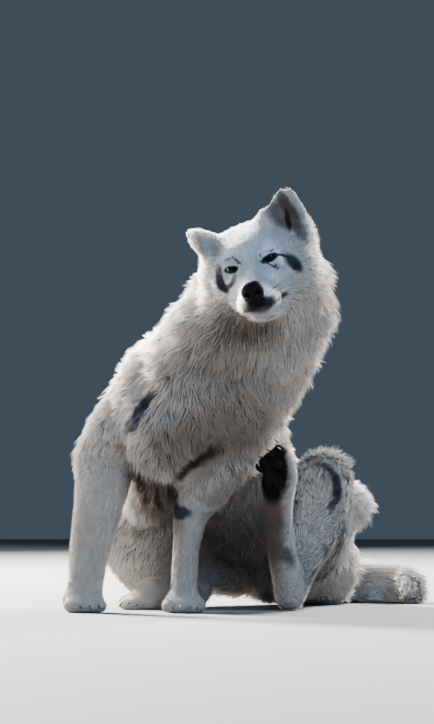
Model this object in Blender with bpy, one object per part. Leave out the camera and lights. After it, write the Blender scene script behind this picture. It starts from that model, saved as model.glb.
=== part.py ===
"""An arctic wolf at life size, sitting on its rump with the left hind foot lifted as if it had just
scratched, the chest turned on the spine and the head tilted.

The coat's outer shape is made first, as one body: lofted tubes and round masses, joined by a voxel
remesh, relaxed and thinned out.  Flat cuts then part it at the joints of the body, and the eyes, nose,
claws and pads are seated in it.  Metres, +Z up, the floor at Z = 0, the wolf looking along -Y.
"""

import math

import bmesh
import bpy
import numpy as np
from mathutils import Matrix, Vector

# Fits between pieces, and the fineness of the body.
GAP = 0.0003
LAID_GAP = 0.0007
VOXEL = 0.004
RELAX = 110
FINE_TRIANGLES = 6400
PLAIN_TRIANGLES = 1900
RING_SIDES = 28
SLEEVE_SIDES = 10
SLEEVE_STEPS = 2
FLOOR_PRESS = 0.004

# The head's frame: its origin lies midway between the eyes, -Y runs to the nose, +X to the wolf's left.
HEAD_AT = Vector((0.0660, -0.170, 0.671))
HEAD_TILT = math.radians(16.7)
HEAD_NOD = math.radians(11.0)
HEAD_TURN = math.radians(9.0)

# The skull.
EYE_AT = Vector((0.0370, -0.0090, 0.000))
EYE_RADIUS = 0.0125
EYE_SPLAY = math.radians(24)
EYE_OPENING = Vector((0.0125, 0.0160, 0.0085))
NOSE_AT = Vector((0, -0.117, -0.041))
NOSE_SIZE = Vector((0.0205, 0.0160, 0.0185))

COATS = {
    "white_coat": ((0.82, 0.80, 0.76), 0.85),
    "eye": ((0.10, 0.07, 0.04), 0.08),
    "nose_leather": ((0.02, 0.02, 0.022), 0.35),
    "claw_horn": ((0.05, 0.045, 0.04), 0.35),
    "pad_leather": ((0.03, 0.027, 0.026), 0.7),
}


def clear_scene():
    """Removes what the file opened with."""
    for thing in list(bpy.data.objects):
        bpy.data.objects.remove(thing)


def material(slot):
    """The named material, made once."""
    found = bpy.data.materials.get(slot)
    if found:
        return found
    colour, roughness = COATS[slot]
    made = bpy.data.materials.new(slot)
    made.use_nodes = True
    shader = made.node_tree.nodes["Principled BSDF"]
    shader.inputs["Base Color"].default_value = (*colour, 1)
    shader.inputs["Roughness"].default_value = roughness
    shader.inputs["Metallic"].default_value = 0
    return made


def object_of(name, mesh, slot="white_coat"):
    """A mesh as a named object in the scene, with its material."""
    made = bpy.data.objects.new(name, mesh)
    bpy.context.scene.collection.objects.link(made)
    mesh.materials.clear()
    mesh.materials.append(material(slot))
    return made


def mesh_of(bm, name):
    """A bmesh as a mesh, its faces flat triangles turned outwards."""
    bmesh.ops.triangulate(bm, faces=bm.faces, quad_method="FIXED")
    bmesh.ops.recalc_face_normals(bm, faces=bm.faces)
    mesh = bpy.data.meshes.new(name)
    bm.to_mesh(mesh)
    bm.free()
    return mesh


# --- Shapes -------------------------------------------------------------------------------------


def smooth_line(points, steps):
    """A Catmull-Rom line through rows of numbers, with some steps between each two."""
    rows = np.array(points, float)
    padded = np.vstack([2 * rows[0] - rows[1], rows, 2 * rows[-1] - rows[-2]])
    line = []
    for a, b, c, d in zip(padded, padded[1:], padded[2:], padded[3:]):
        square = 2 * a - 5 * b + 4 * c - d
        cube = 3 * b - a - 3 * c + d
        for t in np.arange(steps) / steps:
            line.append(0.5 * (2 * b + (c - a) * t + square * t**2 + cube * t**3))
    line.append(rows[-1])
    return np.array(line)


def rounded(line):
    """The line with a round nose added at each end, where it closes to a point."""
    def nose(end, before):
        along = end[:3] - before[:3]
        along = along / np.linalg.norm(along)
        reach = min(end[3:5])
        rings = []
        for turn in np.radians((25, 48, 68, 84)):
            ring = end.copy()
            ring[:3] = end[:3] + along * reach * math.sin(turn)
            ring[3:5] = end[3:5] * math.cos(turn)
            rings.append(ring)
        return rings
    return np.array(nose(line[0], line[1])[::-1] + list(line) + nose(line[-1], line[-2]))


def tube(stations, side, steps=5, power=2.0):
    """A closed lofted tube.  Each station is x, y, z, half its size along side, and half across that."""
    return loft(rounded(smooth_line(stations, steps)), side, power)


def loft(line, side, power=2.0, sides=RING_SIDES):
    """A closed loft through the rings of a line, with flat ends."""
    along = np.gradient(line[:, :3], axis=0)
    bm = bmesh.new()
    rings = []
    for row, heading in zip(line, along):
        heading = Vector(heading).normalized()
        across = (Vector(side) - Vector(side).dot(heading) * heading).normalized()
        deep = heading.cross(across)
        ring = []
        for k in range(sides):
            turn = 2 * math.pi * k / sides
            c, s = math.cos(turn), math.sin(turn)
            u = math.copysign(abs(c) ** (2 / power), c) * row[3]
            v = math.copysign(abs(s) ** (2 / power), s) * row[4]
            ring.append(bm.verts.new(Vector(row[:3]) + across * u + deep * v))
        rings.append(ring)
    for lower, upper in zip(rings, rings[1:]):
        for k in range(sides):
            n = (k + 1) % sides
            bm.faces.new((lower[k], lower[n], upper[n], upper[k]))
    bm.faces.new(rings[0][::-1])
    bm.faces.new(rings[-1])
    return mesh_of(bm, "tube")


def mass(centre, radii, turn=None, around=24, down=14):
    """An ellipsoid, turned if asked: a muscle, a cheek or a toe."""
    bm = bmesh.new()
    bmesh.ops.create_uvsphere(bm, u_segments=around, v_segments=down, radius=1)
    size = Matrix.Diagonal((*radii, 1))
    spin = turn.to_4x4() if turn is not None else Matrix.Identity(4)
    bmesh.ops.transform(bm, matrix=Matrix.Translation(centre) @ spin @ size, verts=bm.verts)
    return mesh_of(bm, "mass")


def placed(mesh, matrix):
    """The mesh moved by a matrix."""
    mesh.transform(matrix)
    return mesh


def mirrored(mesh):
    """A copy of the mesh on the other side of the local YZ plane."""
    other = mesh.copy()
    other.transform(Matrix.Diagonal((-1, 1, 1, 1)))
    other.flip_normals()
    return other


def head_matrix():
    """Where the head's own frame lies in the world: nodded, turned, then tilted about the line of sight."""
    tilt = Matrix.Rotation(-HEAD_TILT, 4, "Y")
    turn = Matrix.Rotation(-HEAD_TURN, 4, "Z")
    nod = Matrix.Rotation(HEAD_NOD, 4, "X")
    return Matrix.Translation(HEAD_AT) @ tilt @ turn @ nod


# --- The trunk, neck and tail -------------------------------------------------------------------


def trunk_and_neck():
    """The barrel of the body, bent to the left from chest to rump, with the brisket and the maned neck."""
    barrel = tube(
        [
            (-0.022, -0.010, 0.402, 0.096, 0.100),
            (-0.025, 0.065, 0.400, 0.155, 0.150),
            (-0.004, 0.195, 0.345, 0.138, 0.148),
            (0.058, 0.310, 0.235, 0.120, 0.124),
            (0.150, 0.415, 0.140, 0.128, 0.142),
            (0.200, 0.470, 0.090, 0.100, 0.100),
        ],
        (0.80, -0.55, 0.0),
    )
    neck = tube(
        [
            (-0.010, 0.040, 0.435, 0.150, 0.125),
            (0.044, 0.015, 0.515, 0.156, 0.132),
            (0.100, -0.025, 0.590, 0.134, 0.116),
            (0.114, -0.060, 0.640, 0.108, 0.098),
        ],
        (1.0, 0.05, 0.22),
    )
    breast = mass((0.000, -0.030, 0.446), (0.128, 0.082, 0.114))
    brisket = mass((-0.084, 0.012, 0.362), (0.100, 0.098, 0.108))
    withers = mass((-0.050, 0.105, 0.465), (0.125, 0.120, 0.105))
    belly = mass((-0.105, 0.165, 0.275), (0.068, 0.120, 0.080))
    flank = mass((-0.135, 0.225, 0.235), (0.052, 0.078, 0.068))
    nape = mass((-0.011, 0.020, 0.630), (0.050, 0.058, 0.052))
    hip = mass((0.246, 0.425, 0.204), (0.078, 0.080, 0.058))
    return [barrel, neck, breast, brisket, withers, belly, flank, nape, hip]


def tail():
    """The brush, laid on the floor in a half curl to the wolf's left."""
    return [
        tube(
            [
                (0.200, 0.470, 0.100, 0.046, 0.048),
                (0.245, 0.550, 0.056, 0.046, 0.050),
                (0.305, 0.600, 0.040, 0.049, 0.052),
                (0.368, 0.592, 0.038, 0.048, 0.050),
                (0.402, 0.535, 0.034, 0.040, 0.042),
                (0.398, 0.475, 0.028, 0.024, 0.028),
            ],
            (0.0, 0.0, 1.0),
        )
    ]


# --- The legs -----------------------------------------------------------------------------------

# Each limb: the stations of its tube, as for tube(), and the way of its section's first half size.
FORELEG_RIGHT = (
    (
        (-0.150, 0.065, 0.395, 0.080, 0.066),
        (-0.192, 0.080, 0.345, 0.076, 0.060),
        (-0.216, 0.084, 0.295, 0.070, 0.053),
        (-0.226, 0.070, 0.240, 0.061, 0.046),
        (-0.238, 0.050, 0.180, 0.054, 0.040),
        (-0.249, 0.034, 0.120, 0.046, 0.036),
        (-0.255, 0.018, 0.070, 0.040, 0.035),
        (-0.257, 0.006, 0.040, 0.036, 0.034),
    ),
    (0.78, -0.62, 0.0),
)
FORELEG_LEFT = (
    (
        (0.044, 0.018, 0.365, 0.066, 0.072),
        (0.008, 0.046, 0.300, 0.058, 0.066),
        (-0.028, 0.074, 0.245, 0.054, 0.058),
        (-0.049, 0.072, 0.200, 0.041, 0.048),
        (-0.056, 0.054, 0.155, 0.029, 0.039),
        (-0.060, 0.033, 0.115, 0.026, 0.034),
        (-0.062, 0.012, 0.070, 0.025, 0.031),
        (-0.063, -0.004, 0.040, 0.026, 0.029),
    ),
    (1.0, 0.25, 0.0),
)
THIGH_LEFT = (
    (
        (0.172, 0.420, 0.140, 0.075, 0.120),
        (0.192, 0.330, 0.170, 0.076, 0.125),
        (0.206, 0.250, 0.205, 0.068, 0.105),
        (0.212, 0.185, 0.252, 0.058, 0.070),
    ),
    (1.0, 0.15, 0.0),
)
SHIN_LEFT = (
    (
        (0.213, 0.185, 0.262, 0.060, 0.060),
        (0.205, 0.165, 0.200, 0.056, 0.062),
        (0.182, 0.140, 0.130, 0.046, 0.052),
        (0.162, 0.118, 0.080, 0.036, 0.040),
        (0.148, 0.104, 0.046, 0.032, 0.040),
    ),
    (0.75, -0.66, 0.0),
)
METATARSUS_LEFT = (
    (
        (0.145, 0.100, 0.026, 0.034, 0.036),
        (0.132, 0.060, 0.088, 0.032, 0.032),
        (0.122, 0.022, 0.148, 0.030, 0.030),
        (0.117, -0.020, 0.206, 0.033, 0.029),
        (0.118, -0.047, 0.245, 0.038, 0.028),
    ),
    (0.90, -0.43, 0.0),
)
THIGH_RIGHT = (
    (
        (0.100, 0.430, 0.130, 0.085, 0.112),
        (-0.010, 0.375, 0.140, 0.078, 0.112),
        (-0.158, 0.290, 0.142, 0.072, 0.074),
    ),
    (-0.45, 0.9, 0.0),
)
SHIN_RIGHT = (
    (
        (-0.164, 0.284, 0.128, 0.068, 0.072),
        (-0.132, 0.292, 0.082, 0.060, 0.066),
        (-0.062, 0.305, 0.055, 0.044, 0.046),
        (-0.040, 0.303, 0.043, 0.038, 0.042),
    ),
    (-0.2, 0.95, 0.0),
)
METATARSUS_RIGHT = (
    (
        (-0.042, 0.296, 0.034, 0.036, 0.038),
        (-0.078, 0.252, 0.031, 0.032, 0.034),
        (-0.114, 0.208, 0.032, 0.033, 0.034),
        (-0.132, 0.184, 0.031, 0.036, 0.032),
    ),
    (0.75, 0.6, 0.0),
)


SHOULDER_SLOPE = math.radians(18)


def limbs():
    """The tubes of all four legs, with the muscles of both shoulders."""
    lines = (FORELEG_RIGHT, FORELEG_LEFT, THIGH_LEFT, SHIN_LEFT, METATARSUS_LEFT)
    lines += (THIGH_RIGHT, SHIN_RIGHT, METATARSUS_RIGHT)
    slope = Matrix.Rotation(SHOULDER_SLOPE, 3, "Y")
    shoulder_right = mass((-0.128, 0.065, 0.420), (0.080, 0.092, 0.120), slope)
    shoulder_left = mass((0.050, 0.030, 0.380), (0.068, 0.085, 0.080))
    return [tube(*line) for line in lines] + [shoulder_right, shoulder_left]


# --- The feet -----------------------------------------------------------------------------------

# One foot in its own frame: -Y runs to the toes, +Z is the back of the foot, and the sole is at Z = 0.
# Each toe: how far to the side, how far forward, how high, its spread, and how far it is bent down.
TOE_BEND = math.radians(12)
TOES = (
    (-0.0305, 0.040, 0.017, math.radians(14), TOE_BEND),
    (-0.0115, 0.055, 0.017, math.radians(4), TOE_BEND),
    (0.0115, 0.055, 0.017, math.radians(-4), TOE_BEND),
    (0.0305, 0.040, 0.017, math.radians(-14), TOE_BEND),
)
# The lifted foot's toes are drawn in, the two towards its inner side the most.
LIFTED_TOES = (
    (-0.0295, 0.026, 0.009, math.radians(20), math.radians(48)),
    (-0.0110, 0.038, 0.012, math.radians(10), math.radians(40)),
    (0.0105, 0.053, 0.015, math.radians(-2), math.radians(26)),
    (0.0285, 0.040, 0.013, math.radians(-12), math.radians(28)),
)
TOE_SIZE = Vector((0.0145, 0.0270, 0.0170))
TOE_SET_BACK = 0.8
CLAW_LENGTH = 0.022
CLAW_ROOT = Vector((0, -0.0141, 0.0035))
CLAW_DROP = 0.009
CLAW_RADIUS = 0.0034
CLAW_SIDES = 5
PAD_VOXEL = 0.0015
PAD_RELAX = 6
PAD_TRIANGLES = 110
TOE_PAD_AT = Vector((0, -0.0085, -0.0118))
TOE_PAD_SIZE = (0.0100, 0.0135, 0.0080)


def foot_matrix(at, toes, up):
    """A foot's own frame in the world: the sole's middle, the way of the toes, and the way up."""
    forward = Vector(toes).normalized()
    above = (Vector(up) - Vector(up).dot(forward) * forward).normalized()
    side = above.cross(forward)
    turn = Matrix((side, -forward, above)).transposed().to_4x4()
    return Matrix.Translation(at) @ turn


LIFTED_FOOT = "hind_paw_left"
FEET = {
    "forepaw_right": foot_matrix((-0.262, -0.006, -FLOOR_PRESS), (0.42, -0.90, 0.0), (0, 0, 1)),
    "forepaw_left": foot_matrix((-0.066, -0.020, -FLOOR_PRESS), (0.10, -0.99, 0.0), (0, 0, 1)),
    "hind_paw_right": foot_matrix((-0.146, 0.172, -FLOOR_PRESS), (-0.62, -0.78, 0.0), (0, 0, 1)),
    "hind_paw_left": foot_matrix((0.106, -0.085, 0.275), (-0.04, -0.24, 0.96), (0.79, 0.60, 0.15)),
}


def toes_of(name):
    """The toes of the named foot."""
    return LIFTED_TOES if name == LIFTED_FOOT else TOES


def toe_matrix(side, reach, height, spread, bend):
    """A toe's own frame in its foot: its middle, spread to the side, and bent down at the tip."""
    middle = Matrix.Translation((side, TOE_SIZE.y * TOE_SET_BACK - reach, height))
    return middle @ Matrix.Rotation(spread, 4, "Z") @ Matrix.Rotation(bend, 4, "X")


def foot(name, matrix):
    """The palm and the four toes of a foot."""
    made = [mass((0, 0.012, 0.026), (0.036, 0.040, 0.026)), mass((0, -0.012, 0.022), (0.036, 0.026, 0.021))]
    for toe in toes_of(name):
        made.append(placed(mass((0, 0, 0), TOE_SIZE), toe_matrix(*toe)))
    return [placed(mesh, matrix) for mesh in made]


def claw(side, reach, height, spread, bend):
    """One claw of a foot: a tapering tube that curves down past the toe's tip."""
    rings = []
    for share in (0, 0.55, 1):
        at = CLAW_ROOT - Vector((0, CLAW_LENGTH * share, CLAW_DROP * share**1.7))
        radius = CLAW_RADIUS * (1 - 0.78 * share)
        rings.append((*at, radius, radius * 1.25))
    mesh = loft(np.array(rings), (1, 0, 0), sides=CLAW_SIDES)
    return placed(mesh, toe_matrix(side, reach, height, spread, bend - TOE_BEND))


def pads():
    """The bare pads of the lifted foot: a three-lobed one behind four for the toes."""
    lobes = [
        mass((0.003, 0.010, 0.003), (0.019, 0.018, 0.011)),
        mass((-0.012, 0.023, 0.003), (0.012, 0.012, 0.010)),
        mass((0.018, 0.022, 0.003), (0.013, 0.013, 0.010)),
    ]
    made = {"main": fused(lobes, PAD_VOXEL, PAD_RELAX, PAD_TRIANGLES)}
    for number, toe in enumerate(LIFTED_TOES, 1):
        pad = mass(TOE_PAD_AT, TOE_PAD_SIZE, around=8, down=6)
        made[f"toe_{number}"] = placed(pad, toe_matrix(*toe))
    return made


# --- The head -----------------------------------------------------------------------------------


def skull():
    """The furred head without ears: brain case, muzzle, jaw, lips, brows and cheek ruffs."""
    def station(y, top, bottom, half_width):
        return (0, y, (top + bottom) / 2, half_width, (top - bottom) / 2)

    case = tube(
        [
            station(-0.106, -0.026, -0.076, 0.027),
            station(-0.080, -0.020, -0.084, 0.033),
            station(-0.048, -0.012, -0.092, 0.038),
            station(-0.022, 0.008, -0.100, 0.053),
            station(0.005, 0.034, -0.106, 0.072),
            station(0.035, 0.056, -0.110, 0.084),
            station(0.070, 0.066, -0.110, 0.094),
            station(0.105, 0.060, -0.100, 0.095),
            station(0.135, 0.040, -0.085, 0.080),
        ],
        (1, 0, 0),
        power=2.3,
    )
    bridge = tube(
        [
            (0, -0.116, -0.034, 0.0165, 0.0095),
            (0, -0.085, -0.028, 0.0190, 0.0120),
            (0, -0.045, -0.018, 0.0210, 0.0140),
            (0, -0.010, 0.004, 0.0260, 0.0160),
        ],
        (1, 0, 0),
    )
    jaw = tube(
        [
            (0, -0.099, -0.0835, 0.0180, 0.0100),
            (0, -0.070, -0.0900, 0.0240, 0.0130),
            (0, -0.020, -0.0960, 0.0380, 0.0200),
            (0, 0.035, -0.0980, 0.0600, 0.0300),
        ],
        (1, 0, 0),
    )
    one_side = [
        mass((0.0195, -0.097, -0.0595), (0.0195, 0.0250, 0.0190)),
        mass((0.0290, -0.068, -0.0640), (0.0170, 0.0340, 0.0200)),
        mass((0.0370, 0.008, 0.0190), (0.0230, 0.0170, 0.0100)),
        mass((0.0560, 0.022, -0.0320), (0.0340, 0.0360, 0.0320)),
        mass((0.0400, 0.022, -0.0660), (0.0260, 0.0600, 0.0260)),
        mass((0.0710, 0.068, -0.0440), (0.0520, 0.0580, 0.0760)),
    ]
    return [case, bridge, jaw] + one_side + [mirrored(mesh) for mesh in one_side]


# An ear's outline: its half width at heights from base to tip, as shares of its width and length.
EAR_OUTLINE = ((0.00, 1.00), (0.25, 0.98), (0.50, 0.84), (0.75, 0.60), (0.92, 0.34), (1.00, 0.14))
EAR_THICKNESS = 0.0110
EAR_SINK = 0.012
EAR_CURL = math.radians(115)
EAR_EASE = 0.45
EAR_COLUMNS = 12
EAR_ROWS = 14


def ear(base, tip, facing, half_width):
    """One cupped ear: a leaf bent round its own length, open towards facing."""
    axis = Vector(tip) - Vector(base)
    length = axis.length
    axis.normalize()
    front = (Vector(facing) - Vector(facing).dot(axis) * axis).normalized()
    side = axis.cross(front)
    bm = bmesh.new()
    heights, widths = zip(*EAR_OUTLINE)
    shells = []
    for depth in (0, EAR_THICKNESS):
        shell = []
        for j in range(EAR_ROWS + 1):
            v = j / EAR_ROWS
            half = half_width * float(np.interp(v, heights, widths))
            curl = EAR_CURL * (1 - EAR_EASE * v)
            bend = half / math.sin(curl / 2)
            radius = bend + depth * (1 - EAR_EASE * v)
            middle = Vector(base) + axis * (v * length - EAR_SINK) + front * bend * math.cos(curl / 2)
            row = []
            for i in range(EAR_COLUMNS + 1):
                turn = curl * (i / EAR_COLUMNS - 0.5)
                off = side * math.sin(turn) - front * math.cos(turn)
                row.append(bm.verts.new(middle + off * radius))
            shell.append(row)
        shells.append(shell)
    inner, outer = shells
    for j in range(EAR_ROWS):
        for i in range(EAR_COLUMNS):
            for shell, order in ((inner, 1), (outer, -1)):
                corners = (shell[j][i], shell[j][i + 1], shell[j + 1][i + 1], shell[j + 1][i])
                bm.faces.new(corners[::order])
        for i in (0, EAR_COLUMNS):
            bm.faces.new((inner[j][i], inner[j + 1][i], outer[j + 1][i], outer[j][i]))
    for i in range(EAR_COLUMNS):
        for j in (0, EAR_ROWS):
            bm.faces.new((inner[j][i], inner[j][i + 1], outer[j][i + 1], outer[j][i]))
    return mesh_of(bm, "ear")


EAR_LEFT = {"base": (0.0745, 0.052, 0.030), "tip": (0.103, 0.056, 0.123), "facing": (0.15, -1.0, 0.15)}
EAR_RIGHT = {"base": (-0.068, 0.060, 0.022), "tip": (-0.1195, 0.095, 0.092), "facing": (-0.62, 0.35, -0.70)}
EAR_HALF_WIDTH = 0.045
EAR_HALF_WIDTH_TURNED = 0.049
EAR_CUT = (-0.060, -0.045, 0), (0.060, 0.045, 0.14)


def ears():
    """The left ear pricked, the right one swung outwards, each with the furred mound that it stands on."""
    return [
        ear(**EAR_LEFT, half_width=EAR_HALF_WIDTH),
        ear(**EAR_RIGHT, half_width=EAR_HALF_WIDTH_TURNED),
        mass((0.073, 0.078, 0.024), (0.042, 0.032, 0.036)),
        mass((0.047, 0.066, 0.056), (0.028, 0.026, 0.028)),
        mass((0.093, 0.078, 0.010), (0.037, 0.030, 0.042)),
        mass((-0.066, 0.078, 0.024), (0.036, 0.032, 0.036)),
        mass((-0.069, 0.050, 0.016), (0.026, 0.028, 0.036)),
    ]


def nose_mesh():
    """The nose pad: a blunt wedge with a groove down its middle and a nostril dented in each side."""
    bm = bmesh.new()
    bmesh.ops.create_uvsphere(bm, u_segments=18, v_segments=10, radius=1)
    for vert in bm.verts:
        p = vert.co
        squared = Vector([math.copysign(abs(c) ** 0.80, c) for c in p])
        taper = 1.0 + 0.10 * p.z
        at = Vector((squared.x * taper * NOSE_SIZE.x, squared.y * NOSE_SIZE.y, squared.z * NOSE_SIZE.z))
        if p.y < 0:
            at.y += 0.0022 * math.exp(-((at.x / 0.0022) ** 2)) * -p.y
            nostril = Vector(((abs(at.x) - 0.0105) / 0.0050, 0, (at.z + 0.0015) / 0.0045))
            at.y += 0.0050 * math.exp(-nostril.length_squared)
        vert.co = at
    mesh = mesh_of(bm, "nose")
    return placed(mesh, Matrix.Translation(NOSE_AT))


# --- Joining and parting ------------------------------------------------------------------------


def applied(obj):
    """Puts the object's evaluated mesh in place of its mesh and modifiers."""
    graph = bpy.context.evaluated_depsgraph_get()
    mesh = bpy.data.meshes.new_from_object(obj.evaluated_get(graph))
    obj.modifiers.clear()
    obj.data = mesh
    return obj


def joined(meshes, name):
    """Several meshes as one object, still overlapping."""
    bm = bmesh.new()
    for mesh in meshes:
        bm.from_mesh(mesh)
    whole = bpy.data.meshes.new(name)
    bm.to_mesh(whole)
    bm.free()
    return object_of(name, whole)


def fused(meshes, voxel, relax, triangles):
    """Several overlapping meshes as one closed mesh, relaxed and thinned to about that many triangles."""
    obj = joined(meshes, "fused")
    remesh = obj.modifiers.new("join", "REMESH")
    remesh.mode = "VOXEL"
    remesh.voxel_size = voxel
    smooth = obj.modifiers.new("relax", "SMOOTH")
    smooth.factor = 0.5
    smooth.iterations = relax
    applied(obj)
    thin = obj.modifiers.new("thin", "DECIMATE")
    thin.ratio = triangles / (2 * len(obj.data.polygons))
    mesh = applied(obj).data
    bpy.data.objects.remove(obj)
    return mesh


def weigh(obj, name, regions):
    """A vertex group of ones, less near any region: its centre, its radius, and the weight inside."""
    group = obj.vertex_groups.new(name=name)
    flat = np.empty(len(obj.data.vertices) * 3)
    obj.data.vertices.foreach_get("co", flat)
    places = flat.reshape(-1, 3)
    weights = np.ones(len(places))
    for centre, radius, inside in regions:
        far = np.linalg.norm(places - np.array(centre), axis=1) / radius
        near = np.clip((1.5 - far) / 0.5, 0, 1)
        weights = np.minimum(weights, 1 + (inside - 1) * near)
    tenths = np.round(weights * 10)
    for tenth in np.unique(tenths):
        chosen = np.nonzero(tenths == tenth)[0]
        group.add(chosen.tolist(), float(tenth) / 10, "REPLACE")


def wolf_body():
    """The whole furred wolf as one closed body, before the floor's flats."""
    head = head_matrix()
    meshes = trunk_and_neck() + tail() + limbs()
    for name, matrix in FEET.items():
        meshes += foot(name, matrix)
    meshes += [placed(mesh, head) for mesh in skull() + ears()]
    whole = joined(meshes, "whole")
    remesh = whole.modifiers.new("join", "REMESH")
    remesh.mode = "VOXEL"
    remesh.voxel_size = VOXEL
    applied(whole)
    firm = [(matrix @ Vector((0, -0.01, 0.02)), 0.065, 0.1) for matrix in FEET.values()]
    firm += [(head @ Vector((0, -0.05, -0.03)), 0.095, 0.1)]
    firm += [(head @ Vector(end["tip"]), 0.075, 0.1) for end in (EAR_LEFT, EAR_RIGHT)]
    for stations, _ in (FORELEG_RIGHT, FORELEG_LEFT, METATARSUS_LEFT, METATARSUS_RIGHT):
        firm += [(station[:3], 1.3 * station[3], 0.3) for station in stations[2:]]
    weigh(whole, "soft", firm)
    smooth = whole.modifiers.new("relax", "SMOOTH")
    smooth.factor = 0.5
    smooth.iterations = RELAX
    smooth.vertex_group = "soft"
    return applied(whole)


def thinned(whole, name, triangles):
    """A copy of the body with about that many triangles."""
    copy = object_of(name, whole.data.copy())
    thin = copy.modifiers.new("thin", "DECIMATE")
    thin.ratio = triangles / (2 * len(whole.data.polygons))
    return applied(copy)


def box(at, axis, side, low, high, grow=0.0):
    """A box in its own frame: local Z along axis, local X along side, with corners low and high."""
    z = Vector(axis).normalized()
    x = (Vector(side) - Vector(side).dot(z) * z).normalized()
    turn = Matrix((x, z.cross(x), z)).transposed().to_4x4()
    bm = bmesh.new()
    bmesh.ops.create_cube(bm, size=1)
    for vert in bm.verts:
        vert.co = Vector([low[k] - grow if vert.co[k] < 0 else high[k] + grow for k in range(3)])
    bmesh.ops.transform(bm, matrix=Matrix.Translation(at) @ turn, verts=bm.verts)
    return mesh_of(bm, "box")


def sleeve(limb, start, end, spare, grow=0.0):
    """A flat-ended tube, with a spare, round a limb between two of its stations or past its ends."""
    stations, side = limb
    whole = smooth_line(stations, SLEEVE_STEPS)
    places = np.arange(len(whole)) / SLEEVE_STEPS
    inner = whole[(places > start + 0.1) & (places < end - 0.1)]
    line = np.vstack([line_at(whole, places, start)] + list(inner) + [line_at(whole, places, end)])
    heading_in = line[0, :3] - line[1, :3]
    heading_out = line[-1, :3] - line[-2, :3]
    line[0, :3] += heading_in / np.linalg.norm(heading_in) * grow
    line[-1, :3] += heading_out / np.linalg.norm(heading_out) * grow
    line[:, 3:5] += spare + grow
    return loft(line, side, sides=SLEEVE_SIDES)


def line_at(line, places, place):
    """The line's row at a place, running straight on past either end."""
    inside = min(max(place, places[0]), places[-1])
    row = np.array([np.interp(inside, places, column) for column in line.T])
    if place < inside:
        row[:3] += (line[0, :3] - line[1, :3]) * SLEEVE_STEPS * (inside - place)
    if place > inside:
        row[:3] += (line[-1, :3] - line[-2, :3]) * SLEEVE_STEPS * (place - inside)
    return row


def cutter(mesh):
    """A mesh as a cutting object, which is not part of the model."""
    obj = bpy.data.objects.new("cutter", mesh)
    bpy.context.scene.collection.objects.link(obj)
    obj.hide_render = True
    obj.display_type = "WIRE"
    return obj


def boolean(obj, other, operation):
    """Cuts or keeps part of the object by another one, at once."""
    modifier = obj.modifiers.new(operation.lower(), "BOOLEAN")
    modifier.solver = "EXACT"
    modifier.operation = operation
    modifier.object = other
    return applied(obj)


def grown(mesh, by):
    """A copy of the mesh with its surface moved out."""
    copy = mesh.copy()
    bm = bmesh.new()
    bm.from_mesh(copy)
    bm.normal_update()
    for vert in bm.verts:
        vert.co += vert.normal * by
    bm.to_mesh(copy)
    bm.free()
    return copy


def tidied(obj):
    """Drops the loose crumbs that cutting left of the object, and keeps its largest piece."""
    bm = bmesh.new()
    bm.from_mesh(obj.data)
    left = set(bm.verts)
    pieces = []
    while left:
        reached = [left.pop()]
        for vert in reached:
            near = {edge.other_vert(vert) for edge in vert.link_edges} & left
            left -= near
            reached += sorted(near, key=lambda other: other.index)
        pieces.append(reached)
    for crumb in sorted(pieces, key=len)[:-1]:
        bmesh.ops.delete(bm, geom=crumb, context="VERTS")
    bm.to_mesh(obj.data)
    bm.free()


def seat(mesh, name, slot, flesh):
    """Sets a hard piece in the flesh, which is cut back round it by the gap."""
    socket = cutter(grown(mesh, GAP))
    boolean(flesh, socket, "DIFFERENCE")
    bpy.data.objects.remove(socket)
    object_of(name, mesh, slot)


def lay(mesh, name, slot, flesh):
    """Lays a hard piece on the flesh, to which its back is trimmed with a gap."""
    piece = object_of(name, mesh, slot)
    back = cutter(grown(flesh.data, LAID_GAP))
    boolean(piece, back, "DIFFERENCE")
    bpy.data.objects.remove(back)
    tidied(piece)


def part_off(bodies, name, detail, shape, *sizes):
    """Takes what lies in a shape off the body as a piece of the detail asked for, with a gap round it."""
    piece = object_of(name, bodies[detail].data.copy())
    keep = cutter(shape(*sizes))
    boolean(piece, keep, "INTERSECT")
    bpy.data.objects.remove(keep)
    away = cutter(shape(*sizes, grow=GAP))
    for body in bodies.values():
        boolean(body, away, "DIFFERENCE")
    bpy.data.objects.remove(away)
    tidied(piece)


# --- The parting of the body ----------------------------------------------------------------------

SPARE = 0.008
DOWN = (0, 0, -1)
RIGHT = (1, 0, 0)
WRIST_RIGHT = (-0.257, 0.010, 0.058)
WRIST_LEFT = (-0.063, -0.003, 0.056)
HOCK_LEFT = (0.118, -0.047, 0.245)
FOOT_UP = (-0.04, -0.24, 0.96)
FOOT_FRONT = (0.79, -0.61, 0.0)
NAPE = Vector((0, 0.088, 0.0))
NAPE_UP = Vector((0, -0.80, 0.60))
THROAT = (0.03, 0.03, 0.490)
NECK_UP = (0.42, -0.25, 0.87)
TAIL_ROOT = (0.222, 0.512, 0.085)
TAIL_BACK = (0.5, 0.85, -0.35)
WIDE = (-0.3, -0.3, 0), (0.3, 0.3, 0.3)

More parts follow.
